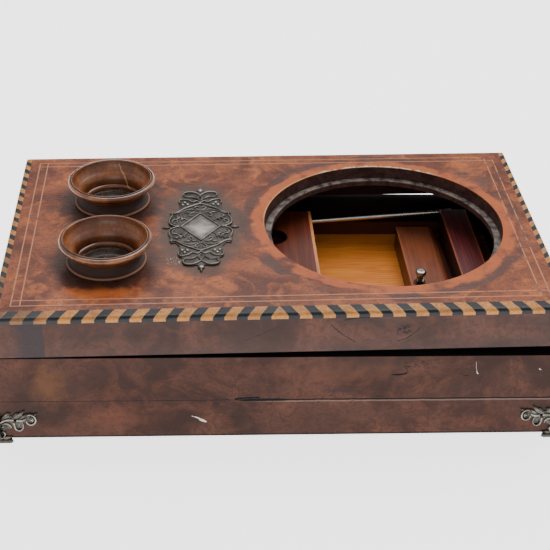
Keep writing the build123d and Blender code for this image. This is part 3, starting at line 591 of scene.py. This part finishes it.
dress(board_finish("sight_mahogany", "y", (70, 28, 14), (102, 43, 24), coat=0.05, rough=0.4,
                   edge=sight_edges), "dark_wood", "sight_board", "left_deck")
dress(board_finish("lipping", "y", (168, 96, 56), (204, 138, 88), bands=3),
      "stringing", "sight_board_lipping")
dress(board_finish("strut_wood", "x", (78, 40, 32), (112, 60, 46)), "dark_wood", "prop_strut", "strut_rack")


def rubbed_and_shaded_edges(name, reach=0.0009):
    """Pale lines along the edges of a bar, where hands and cards have rubbed the stained surface away, and painted
    shade darkening its sides below the top.
    """
    low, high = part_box(name)

    def paint(finish, colour):
        x, _, z = finish.split(finish.point)
        side = (x - low.x).least(high.x - x)
        wobble = finish.noise(finish.point, 4, detail=3) * reach
        line = (side - wobble).ramp(reach * 0.9, reach * 0.3) * (z - high.z).ramp(-0.002, -0.0008)
        # Painted shade: the bar's sides below the top are painted nearly black.
        flank_shade = (z - high.z).ramp(-0.0006, -0.0022)
        colour = finish.mix(flank_shade * 0.75, colour, tint(26, 15, 13))
        return finish.mix(line * 0.5, colour, tint(166, 92, 60))
    return paint


dress(board_finish("carriage_rail", "y", (98, 48, 26), (128, 68, 40), coat=0.08, rough=0.4,
                   edge=rubbed_and_shaded_edges("carriage_front_rail")), "dark_wood", "carriage_front_rail")
dress(board_finish("carriage_bar", "y", (66, 24, 24), (98, 38, 38), coat=0.12, rough=0.4,
                   edge=rubbed_and_shaded_edges("carriage_rear_bar")), "dark_wood", "carriage_rear_bar")
dress(board_finish("carriage_bed", "y", (58, 30, 24), (88, 48, 36)),
      "dark_wood", "carriage_bed", "carriage_tongue")

# %% [markdown]
# Metal. Brass that nobody polishes is brown in its hollows and yellow where it is touched. The card
# rest is bright drawn steel with fine lines round the wire, and the button is turned steel.

# %% Brass and steel
def brass_finish(name, dull):
    finish = Finish(name, Metallic=1.0)
    spots = finish.noise(finish.point, 3.5, detail=5, roughness=0.7)
    bloom = finish.noise(finish.point, 11, detail=3)
    colour = finish.mix(bloom.ramp(0.35, 0.65), tint(168, 128, 66), tint(118, 84, 48))
    tarnish = spots.ramp(0.8 - dull * 0.38, 0.9 - dull * 0.25) * dull
    colour = finish.mix(tarnish.least(1), colour, tint(58, 44, 34))
    finish.set(Base_Color=colour, Roughness=spots * 0.3 + bloom * 0.2 + 0.14)
    finish.set(Normal=finish.bump(spots, 0.05))
    return finish


BRASS_NODES = ["case_hinge_leaf_front", "case_hinge_leaf_back", "lid_hinge_leaf_front", "lid_hinge_leaf_back"]
BRASS_NODES += ["case_hinge_screws", "lid_hinge_screws", "hinge_pins"]
BRASS_NODES += ["deck_hinge_leaves", "sight_hinge_leaves"]
BRASS_NODES += ["strut_bracket", "strut_pin", "lens_retainers", "friction_plate", "friction_shoe"]
BRASS_NODES += ["card_rest_ferrules"]
dress(brass_finish("old_brass", 0.8), "brass", *BRASS_NODES)
dress(brass_finish("black_brass", 1.6), "brass", "button_bush", "foot_pins")


def steel_finish(name, rough, lines, grey=1.0):
    """Bright steel. lines stretches the drawing marks: small along the piece, large across it."""
    finish = Finish(name, Metallic=1.0)
    marks = finish.noise(finish.stretch(finish.point, lines), 0.6, detail=4, roughness=0.7)
    rust = finish.noise(finish.point, 6, detail=5, roughness=0.7).ramp(0.62, 0.72)
    light, dark = (round(part * grey) for part in (224, 194))
    drawn = (tint(dark, dark - 4, dark - 9), tint(light, light - 3, light - 8))
    colour = finish.mix(marks.ramp(0.3, 0.7), *drawn)
    colour = finish.mix(rust * 0.7, colour, tint(112, 84, 66))
    finish.set(Base_Color=colour, Roughness=marks * 0.14 + rust * 0.3 + rough)
    finish.set(Normal=finish.bump(marks, 0.02))
    return finish


dress(steel_finish("drawn_steel", 0.18, (0.1, 1, 1), 0.92), "steel", "card_rest_wire")
turned_steel = steel_finish("turned_steel", 0.2, (1, 1, 4), 0.78)
dress(turned_steel, "steel", "release_button", "carriage_screws")

# %% [markdown]
# The eyepieces are single turnings in a close-grained wood, french polished. A lathe makes its shape
# from one outline, and so does this cell: the outline is drawn as (radius, height) points in
# millimetres, rounded between them except where a turner leaves a sharp edge, and spun into a ring.

# %% Turned eyepiece cups
CUP_OUTLINE = [
    (20.5, -13.0, 1), (20.5, 0.0, 1), (26.0, 0.0, 1), (26.2, 0.7, 0), (26.0, 1.3, 0),
    (25.2, 1.9, 1), (24.6, 2.0, 1), (23.4, 2.7, 0), (22.3, 4.2, 0), (21.7, 6.2, 0),
    (21.7, 7.8, 0), (22.3, 9.4, 0), (23.9, 11.2, 0), (26.2, 12.6, 0), (27.6, 13.1, 1),
    (27.9, 13.6, 1), (29.3, 14.2, 0), (30.1, 15.4, 0), (30.0, 16.7, 0), (29.4, 17.6, 0),
    (28.7, 17.9, 1), (28.3, 17.3, 0), (27.9, 17.5, 1), (27.7, 18.25, 0), (27.2, 18.3, 0),
    (26.9, 17.8, 0), (26.5, 16.4, 0), (25.6, 14.2, 0), (23.9, 11.9, 0), (21.7, 9.7, 0),
    (20.2, 7.4, 0), (19.4, 4.8, 0), (19.0, 3.0, 1), (18.2, 2.4, 0), (17.7, 1.4, 0),
    (17.6, 0.5, 1), (18.3, 0.4, 1), (18.3, -13.0, 1)]
RING_STEPS = 112


def rounded(points, steps):
    """A smooth line through the points. A point whose last number is 1 stays a sharp corner."""
    line = []
    count = len(points)
    for i in range(count - 1):
        here, there = Vector(points[i][:-1]), Vector(points[i + 1][:-1])
        before = here if points[i][-1] else Vector(points[i - 1][:-1])
        after = there if points[i + 1][-1] else Vector(points[min(i + 2, count - 1)][:-1])
        for k in range(steps):
            t = k / steps
            bend = 2 * here + (there - before) * t
            bend += (2 * before - 5 * here + 4 * there - after) * t * t
            bend += (3 * here - before - 3 * there + after) * t * t * t
            line.append(bend / 2)
    line.append(Vector(points[-1][:-1]))
    return line


def skin(rings, around, loop=False):
    """Faces over a row of rings, around points each. A row that doesn't close to a loop gets two caps."""
    faces = []
    for i in range(rings if loop else rings - 1):
        here, there = i * around, (i + 1) % rings * around
        for k in range(around):
            after = (k + 1) % around
            faces.append((here + k, here + after, there + after, there + k))
    if not loop:
        faces += [tuple(range(around)), tuple(range((rings - 1) * around, rings * around))]
    return faces


def mesh_piece(name, points, faces, finish, body, creases=40, heights=None):
    """A new mesh object with a finish, riding on a body of the part. heights are kept for the finish."""
    mesh = bpy.data.meshes.new(name)
    mesh.from_pydata([tuple(p) for p in points], [], faces)
    if heights:
        mesh.attributes.new("relief", "FLOAT", "POINT").data.foreach_set("value", heights)
    shape = bmesh.new()
    shape.from_mesh(mesh)
    bmesh.ops.remove_doubles(shape, verts=shape.verts, dist=1e-6)
    bmesh.ops.recalc_face_normals(shape, faces=shape.faces)
    for face in shape.faces:
        face.smooth = True
    shape.to_mesh(mesh)
    shape.free()
    mesh.set_sharp_from_angle(angle=math.radians(creases))
    mesh.materials.append(finish.material)
    piece = bpy.data.objects.new(name, mesh)
    bpy.context.scene.collection.objects.link(piece)
    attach(piece, body)
    print(f"{name}: {len(mesh.polygons)} faces")
    return piece


def spun(outline, place):
    """Points and faces of an outline spun about the level lid's upright."""
    points = []
    for radius, height in outline:
        for k in range(RING_STEPS):
            turn = 2 * math.pi * k / RING_STEPS
            offset = Vector((radius * math.cos(turn), radius * math.sin(turn), height)) * MM
            points.append(open_lid @ (place + offset))
    return points, skin(len(outline), RING_STEPS, loop=True)


def cup_finish(name, centre, cracked):
    """Honey-brown polish with rings from the lathe, a waist painted dark as shade, a darker base, a rubbed rim and
    one crack in the bowl, whose lower part is painted darker as shade.
    """
    finish = Finish(name, Coat_Roughness=0.12, Specular_IOR_Level=0.5)
    point = finish.level()
    x, y, z = finish.split(point)
    radius = far_from(x, y, centre)
    height = z - LID_TOP
    rings = finish.noise(finish.join(radius, 0, height), 0.9, detail=4, roughness=0.6)
    grain = finish.noise(finish.stretch(point, (1, 0.3, 1)), 2.2, detail=5, roughness=0.65)
    cloud = finish.noise(point, 17, detail=3)
    colour = finish.mix(cloud.ramp(0.35, 0.65), tint(106, 56, 24), tint(146, 84, 38))
    colour = finish.mix(grain.ramp(0.42, 0.6) * 0.45, colour, tint(84, 42, 20))
    colour = finish.mix(rings.ramp(0.5, 0.62) * 0.3, colour, tint(66, 34, 24))
    outer = (radius - height.ramp(0.006, 0.016) * 0.006).ramp(0.0208, 0.0214)
    # Painted shade: the waist of the cup's outside is painted nearly black.
    waist = height.near(0.0058, 0.0042, 0.004) * outer
    colour = finish.mix(waist * 0.85, colour, tint(30, 17, 15))
    groove = radius.near(0.0281, 0.00025, 0.00035) * height.ramp(0.015, 0.0168)
    seam = radius.near(0.0276, 0.0006, 0.0005) * height.near(0.0134, 0.0004, 0.0005)
    colour = finish.mix(groove.most(seam) * 0.8, colour, tint(36, 20, 16))
    worn = cloud.ramp(0.4, 0.6) * height.ramp(0.0150, 0.0172) * radius.ramp(0.0283, 0.0292)
    collar = radius.near(0.0257, 0.0003, 0.0004) * height.near(0.0015, 0.0003, 0.0004)
    base = radius.ramp(0.0222, 0.0234) * height.ramp(0.0042, 0.003)
    colour = finish.mix(base * 0.8, colour, tint(74, 52, 48))
    colour = finish.mix(worn * 0.4 + collar * 0.7, colour, tint(176, 124, 88))
    # Painted shade: the inside of the bowl is painted darker towards its bottom.
    bowl = radius.ramp(0.0268, 0.0262) * height.ramp(0.001, 0.003)
    colour = finish.mix(bowl * height.ramp(0.012, 0.003) * 0.6, colour, tint(58, 29, 14))
    crack_line = (x - centre[0]) - (26 * MM - (y - centre[1])) * 0.6 - 0.004
    split = (crack_line + (grain - 0.5) * 0.002).near(0, 0.00015, 0.0003)
    split = split * bowl * (y - centre[1]).ramp(0.0, 0.006) * cracked
    colour = finish.mix(split * 0.8, colour, tint(196, 150, 110))
    finish.set(Base_Color=colour, Coat_Weight=0.6 - waist.most(base) * 0.6)
    finish.set(Roughness=cloud * 0.18 + rings * 0.12 + waist.most(base) * 0.35 + 0.14)
    finish.set(Normal=finish.bump(rings * 0.5 + grain * 0.2 - split, 0.08))
    return finish


for side in ("front", "back"):
    low, high = level_box(f"eyepiece_cup_{side}")
    place = Vector(((low.x + high.x) / 2, (low.y + high.y) / 2, LID_TOP))
    points, faces = spun(rounded(CUP_OUTLINE, 4), place)
    cup_polish = cup_finish(f"turned_polish_{side}", place, 1 if side == "back" else 0)
    cup = mesh_piece(f"turned_cup_{side}", points, faces, cup_polish, "lens_panel", creases=35)
    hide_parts(f"eyepiece_cup_{side}")

# %% [markdown]
# The release button stands on a small coil spring. When the button goes down, the spring's foot stays
# on the carriage and its coils close up. The spring is wound here as a mesh of its own, riding on the
# carriage.

# %% Button spring
coil_low, coil_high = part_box("button_spring")
COIL_TURNS = 5
COIL_SIDES = 24
WIRE = 0.6 * MM
WIRE_SIDES = 8
coil_reach = (coil_high.x - coil_low.x - WIRE) / 2
coil_foot = Vector(((coil_low.x + coil_high.x) / 2, (coil_low.y + coil_high.y) / 2, coil_low.z))
coil_rise = coil_high.z - coil_low.z - WIRE
points = []
for i in range(COIL_TURNS * COIL_SIDES + 1):
    turn = 2 * math.pi * i / COIL_SIDES
    outward = Vector((math.cos(turn), math.sin(turn), 0))
    climb = Vector((0, 0, WIRE / 2 + coil_rise * i / (COIL_TURNS * COIL_SIDES)))
    for k in range(WIRE_SIDES):
        around = 2 * math.pi * k / WIRE_SIDES
        wire_edge = outward * math.cos(around) + Vector((0, 0, math.sin(around)))
        points.append(coil_foot + climb + outward * coil_reach + wire_edge * WIRE / 2)
faces = skin(COIL_TURNS * COIL_SIDES + 1, WIRE_SIDES)
coil = mesh_piece("coil_spring", points, faces, turned_steel, "carriage")
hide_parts("button_spring")
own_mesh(coil)

# %% [markdown]
# Old lens glass is rarely clear: a film of dust dulls it and specks sit on it. The lens itself is the
# part's own double-convex solid. Its shader mixes clear glass with a matt dust by a speckled mask.

# %% Dusty lenses
glass = Finish("dusty_glass", Transmission_Weight=1.0, Roughness=0.04, IOR=1.52)
glass.set(Base_Color=tint(214, 220, 210))
film = glass.noise(glass.point, 9, detail=5, roughness=0.7).ramp(0.3, 0.75) * 0.3 + 0.4
specks = glass.cells(glass.point, 3.2).ramp(0.14, 0.07) * glass.noise(glass.point, 7).ramp(0.5, 0.6)
powder_colour = glass.mix(specks, tint(46, 33, 28), tint(176, 160, 140))
powder = glass.node("ShaderNodeBsdfDiffuse", inputs={"Color": powder_colour}, out="BSDF")
clear = Num(glass, glass.shader.outputs[0])
dusted = glass.node("ShaderNodeMixShader", inputs={0: (film + specks * 0.6).least(1.0), 1: clear, 2: powder})
glass.tree.links.new(dusted.socket, glass.tree.nodes["Material Output"].inputs["Surface"])
dress(glass, "lens_glass", "eyepiece_lens_front", "eyepiece_lens_back")

# %% [markdown]
# The ornament and the feet are thin castings full of scrolls, leaves and pearls. Sculpting them by
# hand would take days, so they are drawn instead: each strand is a line in the plane of the casting,
# (u, v) in millimetres, swept with a half-round section whose width swells and tapers along the line.
# One quarter of the ornament is drawn and mirrored twice, as its maker's pattern was.

# %% A casting
CAST_CREASES = 50


class Casting:
    """Raised ornament as points (u, v, height) and faces, placed on the object when it is finished."""

    def __init__(self):
        self.points = []
        self.faces = []

    def add(self, points, faces):
        start = len(self.points)
        self.points += points
        self.faces += [tuple(start + i for i in face) for face in faces]

    def strand(self, line, widths, rise, vein=0.0, base=0.0, section=8, steps=6):
        """A half-round strand along a line. vein presses a groove along its middle."""
        path = rounded([(*p, 0) for p in line], steps)
        points = []
        for i, here in enumerate(path):
            ahead = path[min(i + 1, len(path) - 1)] - path[max(i - 1, 0)]
            side = Vector((-ahead.y, ahead.x)).normalized()
            width = float(np.interp(i / (len(path) - 1), np.linspace(0, 1, len(widths)), widths))
            swell = rise * (0.35 + 0.65 * width / max(widths))
            for k in range(section + 1):
                turn = math.pi * k / section
                off = here + side * (math.cos(turn) * width / 2)
                dip = 1 - vein * math.exp(-((math.cos(turn) / 0.3) ** 2))
                points.append((off.x, off.y, base + math.sin(turn) * swell * dip))
        self.add(points, skin(len(path), section + 1))

    def strands(self, rows, base=0.0):
        """Strands from a table: each row is a line, its widths, its rise and, for a leaf, its vein."""
        for line, widths, rise, *vein in rows:
            self.strand(line, widths, rise, *vein, base=base)

    def dome(self, u, v, radius, rise, base=0.0, sides=14, rings=4, stretch=1.0):
        """A pearl, or with stretch an oval boss."""
        points = []
        for i in range(rings + 1):
            lift = math.pi / 2 * i / rings
            # just short of a right angle, so that the top ring keeps a small face
            reach = radius * math.cos(lift * 0.98)
            for k in range(sides):
                turn = 2 * math.pi * k / sides
                spot = (u + reach * math.cos(turn), v + reach * stretch * math.sin(turn))
                points.append((*spot, base + rise * math.sin(lift)))
        self.add(points, skin(rings + 1, sides))

    def sheet(self, outline, bottom, top, bevel=0.25):
        """A flat plate whose upper edge is rounded off."""
        middle = sum((Vector(p) for p in outline), Vector((0, 0))) / len(outline)
        points = []
        levels = ((0.0, bottom), (0.0, top - bevel), (bevel * 0.4, top - bevel * 0.3), (bevel, top))
        for inset, height in levels:
            for p in outline:
                inward = (middle - Vector(p)).normalized() * inset
                points.append((p[0] + inward.x, p[1] + inward.y, height))
        self.add(points, skin(len(levels), len(outline)))

    def copies(self, flips):
        """The casting repeated with u and v multiplied by each pair of signs."""
        whole = Casting()
        for flip_u, flip_v in flips:
            whole.add([(p[0] * flip_u, p[1] * flip_v, p[2]) for p in self.points], self.faces)
        return whole

    def build(self, name, place, finish, body, slot_name):
        """Places each point with place(u, v, height) and keeps its height for the finish."""
        points = [place(*p) for p in self.points]
        heights = [p[2] for p in self.points]
        return mesh_piece(name, points, self.faces, finish, body, CAST_CREASES, heights)


# %% [markdown]
# The casting's metal is a dull grey bronze. Black wax and dirt sit in its hollows, and only the raised
# lines are rubbed bright. Ambient occlusion finds the hollows of such a casting by itself: it asks how
# much of the surroundings each point can see within a millimetre or two.

# %% Cast metal
def cast_finish(name, reach, hollow, crest, bright, body_tone, dirt):
    finish = Finish(name, Metallic=0.85, Specular_IOR_Level=0.5)
    shelter = finish.node("ShaderNodeAmbientOcclusion", {"samples": 8}, {"Distance": reach * MM}, out="AO")
    pits = finish.noise(finish.point, 1.1, detail=4, roughness=0.7)
    bloom = finish.noise(finish.point, 6, detail=3)
    raised = finish.stored("relief").ramp(hollow, crest)
    open_face = shelter.ramp(0.2, 0.8) * (raised * 0.75 + 0.25)
    colour = finish.mix(bloom.ramp(0.35, 0.65), tint(*body_tone), tint(*bright))
    colour = finish.mix(1 - open_face, colour, tint(*dirt))
    colour = finish.mix(pits.ramp(0.55, 0.68) * 0.35, colour, tint(*dirt))
    finish.set(Base_Color=colour, Roughness=pits * 0.3 + (1 - open_face) * 0.3 + 0.22)
    finish.set(Normal=finish.bump(pits, 0.06))
    return finish


ornament_metal = cast_finish("ornament_bronze", 1.6, 0.84, 1.7,
                             (142, 136, 129), (116, 110, 104), (34, 31, 28))
foot_metal = cast_finish("foot_bronze", 2.4, 0.5, 1.7, (172, 166, 156), (118, 112, 102), (22, 19, 17))

# %% [markdown]
# The ornament on the lid: a plain domed lozenge in a rope border, four lobes of leaf sprays round it,
# a scrolled crown at each end with trefoils of pearls beside it, and a finial at every tip.

# %% Ornament
quarter = Casting()
quarter.strands([
    ([(13.3, 0.0), (0.0, 18.2)], [1.0, 1.0], 0.9),
    ([(14.6, 0.6), (18.0, 1.4), (21.0, 4.4), (21.2, 9.6), (19.4, 15.5), (19.8, 20.2)],
     [0.9, 1.0, 1.1, 1.0, 1.0, 0.5], 1.0),
    ([(20.0, 19.4), (16.6, 19.2), (11.0, 24.8), (5.0, 28.8), (0.0, 32.0)],
     [0.6, 1.1, 1.2, 1.2, 1.0], 1.1),
    ([(17.6, 17.0), (11.4, 22.0), (6.0, 23.6), (1.2, 20.6)], [0.5, 0.8, 0.8, 0.4], 0.7),
    ([(17.2, 3.4), (19.2, 6.0), (18.6, 9.0), (16.4, 9.4), (15.8, 7.4), (17.2, 6.8)],
     [0.6, 0.9, 1.0, 0.9, 0.8, 0.6], 0.9),
    ([(9.2, 8.2), (11.0, 11.0), (15.0, 13.2), (18.2, 15.2)], [0.4, 0.9, 0.8, 0.4], 0.8)], base=0.8)
for u, v, du, dv in ((12.6, 12.2, 1.5, 3.2), (15.2, 13.2, 1.6, 3.0), (10.6, 11.4, 0.6, 3.4),
                     (14.0, 12.4, 2.6, -2.4), (11.6, 10.8, 2.4, -2.0)):
    spray = [(u, v), (u + du * 0.5, v + dv * 0.6), (u + du, v + dv)]
    quarter.strand(spray, [0.5, 1.7, 0.3], 1.25, vein=0.3, base=0.8)
quarter.strands([
    ([(2.2, 18.6), (4.8, 19.4), (7.4, 17.0), (7.6, 14.4), (5.8, 14.6), (6.0, 16.4)],
     [0.5, 0.8, 0.9, 0.8, 0.7, 0.5], 0.85),
    ([(6.8, 18.0), (8.8, 19.6), (11.6, 19.4)], [0.5, 1.6, 0.3], 1.0, 0.3),
    ([(0.4, 22.4), (2.6, 23.6), (4.0, 26.4), (2.4, 28.0), (1.2, 26.4)], [0.6, 0.9, 1.0, 0.8, 0.5], 0.9),
    ([(0.0, 31.2), (2.2, 35.4), (5.6, 34.0), (8.4, 36.8), (13.0, 38.2)], [0.7, 1.2, 1.0, 1.3, 0.4], 1.1),
    ([(0.0, 42.0), (1.8, 46.0), (5.8, 48.6), (10.6, 47.8), (11.8, 44.4), (10.0, 43.6)],
     [0.6, 1.1, 1.3, 1.2, 0.9, 0.5], 1.1),
    ([(2.6, 38.4), (5.6, 41.6), (9.8, 41.6), (11.0, 43.0)], [0.5, 1.9, 1.6, 0.4], 1.3, 0.35),
    ([(0.0, 36.0), (1.6, 39.4), (0.2, 43.4)], [0.6, 1.6, 0.5], 1.2, 0.3),
    ([(11.6, 38.0), (14.2, 37.4), (14.8, 34.0), (13.4, 33.0)], [0.5, 0.9, 0.9, 0.4], 0.9)], base=0.8)
for u, v in ((12.4, 30.6), (9.0, 31.0), (10.8, 33.6)):
    quarter.dome(u, v, 1.35, 1.2, base=0.7, stretch=1.2)
quarter.dome(3.4, 14.0, 0.5, 0.5, base=0.8)

ornament = quarter.copies([(1, 1), (-1, 1), (1, -1), (-1, -1)])
PLATE = [
    (15.2, 0.0), (19.4, 1.2), (21.6, 4.6), (21.7, 9.8), (20.4, 20.6), (16.8, 20.4),
    (14.4, 25.4), (14.8, 37.8), (12.2, 40.2), (12.6, 44.6), (11.0, 48.4), (5.8, 49.4),
    (2.4, 48.6), (1.6, 52.4), (0.0, 54.2)]
outline = PLATE + [(-u, v) for u, v in PLATE[-2::-1]]
outline += [(u, -v) for u, v in outline[-2:0:-1]]
ornament.sheet(outline, 0.05, 0.85)
PILLOW_STEPS = 7
pillow = []
for level in range(PILLOW_STEPS):
    share = 1 - level / PILLOW_STEPS
    rise = 1.0 + 0.95 * (1 - share ** 1.8)
    lozenge = [(12.6 * share, 0.0), (0.0, 17.2 * share), (-12.6 * share, 0.0), (0.0, -17.2 * share)]
    sides = []
    for k in range(4):
        start, end = Vector(lozenge[k]), Vector(lozenge[(k + 1) % 4])
        sides += [tuple(start.lerp(end, step / 5)) for step in range(5)]
    if level == 0:
        pillow += [(u, v, 0.7) for u, v in sides]
    pillow += [(u, v, rise) for u, v in sides]
ornament.add(pillow, skin(PILLOW_STEPS + 1, len(sides)))
for sign in (1, -1):
    side_tip = [(21.0 * sign, 0.0), (23.4 * sign, 0.2), (26.2 * sign, 0.0)]
    ornament.strand(side_tip, [1.4, 3.4, 0.5], 1.2, base=0.1)
    ornament.dome(0.0, 51.4 * sign, 2.3, 1.3, base=0.5, stretch=1.1)
    finial = [(0.0, 52.6 * sign), (0.0, 54.8 * sign), (0.0, 57.2 * sign)]
    ornament.strand(finial, [1.0, 1.8, 0.5], 1.2, base=0.3)


def on_lid(u, v, height):
    """A point of the ornament on the ajar lid."""
    point = Vector((mount_place.x + u * MM, mount_place.y + v * MM, LID_TOP + height * MM))
    return open_lid @ point


plate = ornament.build("pierced_ornament", on_lid, ornament_metal, "lens_panel", "cast_mount")
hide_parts("pierced_mount")

# %% [markdown]
# Each foot is a corner casting: the same face of leaves and scrolls on both sides of the corner, a
# horn that curls down into a scrolled toe, and a small pad under the box. u runs from the corner
# along the box, v up from the table, and the height stands out from the wood.

# %% Corner feet
face = Casting()
face.strands([
    ([(0.2, 11.2), (1.6, 14.4), (4.4, 16.6), (8.4, 17.8), (12.6, 17.4), (16.6, 17.2), (19.8, 18.6)],
     [2.2, 2.4, 2.2, 2.0, 2.2, 2.4, 1.4], 1.6),
    ([(3.0, 17.6), (5.6, 19.6), (8.0, 21.6), (9.8, 22.8)], [1.2, 3.0, 3.4, 0.6], 1.9, 0.4),
    ([(0.4, 17.2), (0.8, 20.0), (2.0, 22.6)], [1.4, 3.0, 0.5], 2.0, 0.4),
    ([(10.2, 18.6), (13.4, 20.0), (16.2, 22.2), (18.8, 25.2)], [1.2, 2.8, 2.6, 0.4], 1.9, 0.4),
    ([(11.0, 19.4), (13.4, 22.0), (15.2, 23.2)], [0.8, 2.0, 0.5], 1.7, 0.4),
    ([(15.4, 18.4), (18.0, 20.2), (20.2, 22.0)], [1.2, 2.6, 0.8], 1.6, 0.3),
    ([(19.6, 17.4), (20.2, 15.0), (22.6, 13.8), (25.0, 15.4), (25.4, 18.4), (24.0, 21.0),
      (21.4, 21.8), (20.2, 20.4)],
     [1.0, 1.5, 1.5, 1.4, 1.4, 1.5, 1.4, 0.8], 1.7),
    ([(21.6, 16.4), (23.2, 16.2), (23.8, 18.0), (22.6, 19.4), (21.4, 18.6)],
     [0.7, 1.1, 1.2, 1.1, 0.6], 1.5)])
face.dome(22.6, 17.8, 1.1, 1.9)
face.strands([
    ([(24.0, 20.6), (25.6, 22.0), (26.8, 22.6)], [1.2, 1.6, 0.4], 1.3, 0.3),
    ([(12.0, 17.0), (11.8, 13.6), (12.6, 10.2), (15.0, 9.0), (17.0, 10.8), (17.2, 14.0), (16.4, 16.8)],
     [1.2, 1.5, 1.6, 1.3, 1.1, 1.0, 0.8], 1.6),
    ([(14.4, 16.4), (14.6, 13.4), (15.0, 10.6)], [0.8, 2.2, 0.6], 1.2, 0.4),
    ([(4.6, 14.2), (6.8, 15.0), (8.8, 13.8), (9.6, 11.8), (8.6, 10.6)], [0.8, 1.4, 1.4, 1.1, 0.6], 1.6),
    ([(2.0, 10.0), (4.2, 12.2), (7.0, 12.4)], [0.8, 1.3, 0.5], 1.3),
    ([(0.5, 12.0), (0.6, 8.0), (1.6, 4.6), (3.4, 2.6)], [2.2, 2.6, 2.4, 1.8], 2.0),
    ([(2.2, 4.0), (4.4, 4.4), (5.4, 6.4), (4.2, 8.4), (2.8, 7.6)], [0.9, 1.4, 1.4, 1.2, 0.6], 1.9),
    ([(1.6, 2.0), (4.6, 2.6), (7.4, 3.2), (10.2, 3.6)], [2.6, 3.2, 2.4, 0.4], 1.9, 0.35),
    ([(1.2, 0.9), (4.2, 0.8), (7.6, 1.5)], [1.4, 1.5, 0.5], 1.6)])
face.sheet([(0.0, 2.6), (3.4, 2.8), (5.4, 9.0), (10.6, 12.0), (12.6, 10.2), (16.6, 10.6), (17.4, 15.4),
            (20.6, 15.0), (24.2, 15.6), (24.4, 19.8), (19.6, 21.0), (12.0, 20.4), (7.6, 20.6), (0.0, 19.4)],
           0.02, 0.55, bevel=0.2)
PAD = [(0.5, 0.5), (9.0, 0.5), (10.4, 1.6), (9.6, 3.2), (3.2, 9.6), (1.6, 10.4), (0.5, 9.0)]
PAD_RELIEF = 0.4
pad = Casting()
pad.sheet(PAD, 0.0, plinth_low.z / MM, bevel=1.0)


def foot_place(corner, way, along_x):
    """Turns (u, v, height) of a foot's face into the frame: along the front or back, or along an end."""
    def place(u, v, height):
        reach = max(u, 0.0) * MM
        lift = max(v, 0.0) * MM
        if along_x:
            return Vector((corner.x - way.x * reach, way.y * (HALF_DEPTH + height * MM), lift))
        return Vector((way.x * (HALF_LENGTH + height * MM), corner.y - way.y * reach, lift))
    return place


for x_name, x_way in (("left", -1), ("right", 1)):
    for y_name, y_way in (("front", -1), ("back", 1)):
        node_name = f"foot_{y_name}_{x_name}"
        low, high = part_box(node_name)
        corner = Vector((high.x if x_way > 0 else low.x, high.y if y_way > 0 else low.y, low.z))
        way = Vector((x_way, y_way, 0))
        whole = Casting()
        for along_x in (True, False):
            spot = foot_place(corner, way, along_x)
            whole.add([spot(*p) for p in face.points], face.faces)
        under = [(corner.x - x_way * u * MM, corner.y - y_way * v * MM, h * MM) for u, v, h in pad.points]
        whole.add(under, pad.faces)
        heights = [p[2] for p in face.points] * 2 + [PAD_RELIEF] * len(pad.points)
        foot = mesh_piece(f"scrolled_{node_name}", whole.points, whole.faces, foot_metal, "case",
                          CAST_CREASES, heights)
        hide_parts(node_name)

# %% [markdown]
# The object stands on a plain pale table top under soft light. A large lamp overhead and a little
# behind lights the lid, a weaker one in front keeps the box's front readable, and a pale world fills
# the shadows. None of this belongs to the object.

# %% Floor and light
floor_mesh = bpy.data.meshes.new("floor")
floor_mesh.from_pydata([(-6, -4, 0), (6, -4, 0), (6, 9, 0), (-6, 9, 0)], [], [(0, 1, 2, 3)])
floor = bpy.data.objects.new("floor", floor_mesh)
bpy.context.scene.collection.objects.link(floor)
paper = Finish("pale_paper", Specular_IOR_Level=0.1, Emission_Strength=2.4,
               Emission_Color=tint(255, 255, 255))
fibre = paper.noise(paper.point, 3, detail=4)
paper.set(Base_Color=paper.mix(fibre, tint(200, 201, 202), tint(206, 207, 208)), Roughness=fibre * 0.1 + 0.75)
floor_mesh.materials.append(paper.material)


def soft_lamp(name, place, size, watts, aim=(0, 0, 0.05)):
    """A square area lamp at a place, turned to face a point."""
    lamp = bpy.data.lights.new(name, "AREA")
    lamp.shape = "RECTANGLE"
    lamp.size, lamp.size_y = size
    lamp.energy = watts
    holder = bpy.data.objects.new(name, lamp)
    holder.location = place
    holder.rotation_euler = (Vector(aim) - Vector(place)).to_track_quat("-Z", "Y").to_euler()
    bpy.context.scene.collection.objects.link(holder)


soft_lamp("overhead", (0.2, 0.55, 1.25), (1.5, 1.1), 24)
soft_lamp("front_fill", (-0.3, -1.6, 0.9), (1.2, 0.8), 2)
world = bpy.data.worlds.new("studio")
world.use_nodes = True
sky = world.node_tree.nodes["Background"].inputs
sky["Color"].default_value = (1, 1, 1, 1)
sky["Strength"].default_value = 0.5
bpy.context.scene.world = world

# %% [markdown]
# The camera stands in front and above, a little left of the middle, and looks down on the lid. Its
# direction is given as a compass angle, a downward angle and a slight roll, which is how a person
# holding a camera would describe it.

# %% Camera
CAMERA_PLACE = (-0.0575, -0.7543, 0.5358)
AZIMUTH, DOWN, ROLL = (math.radians(angle) for angle in (4.39, 32.23, 2.18))
LENS = 83.6
forward = Vector((math.sin(AZIMUTH) * math.cos(DOWN), math.cos(AZIMUTH) * math.cos(DOWN), -math.sin(DOWN)))
lens = bpy.data.cameras.new("camera")
lens.lens = LENS
camera = bpy.data.objects.new("camera", lens)
camera.location = CAMERA_PLACE
camera.rotation_mode = "QUATERNION"
camera.rotation_quaternion = forward.to_track_quat("-Z", "Y") @ Matrix.Rotation(ROLL, 4, "Z").to_quaternion()
bpy.context.scene.collection.objects.link(camera)
bpy.context.scene.camera = camera
print("camera looks along", [round(v, 3) for v in forward])
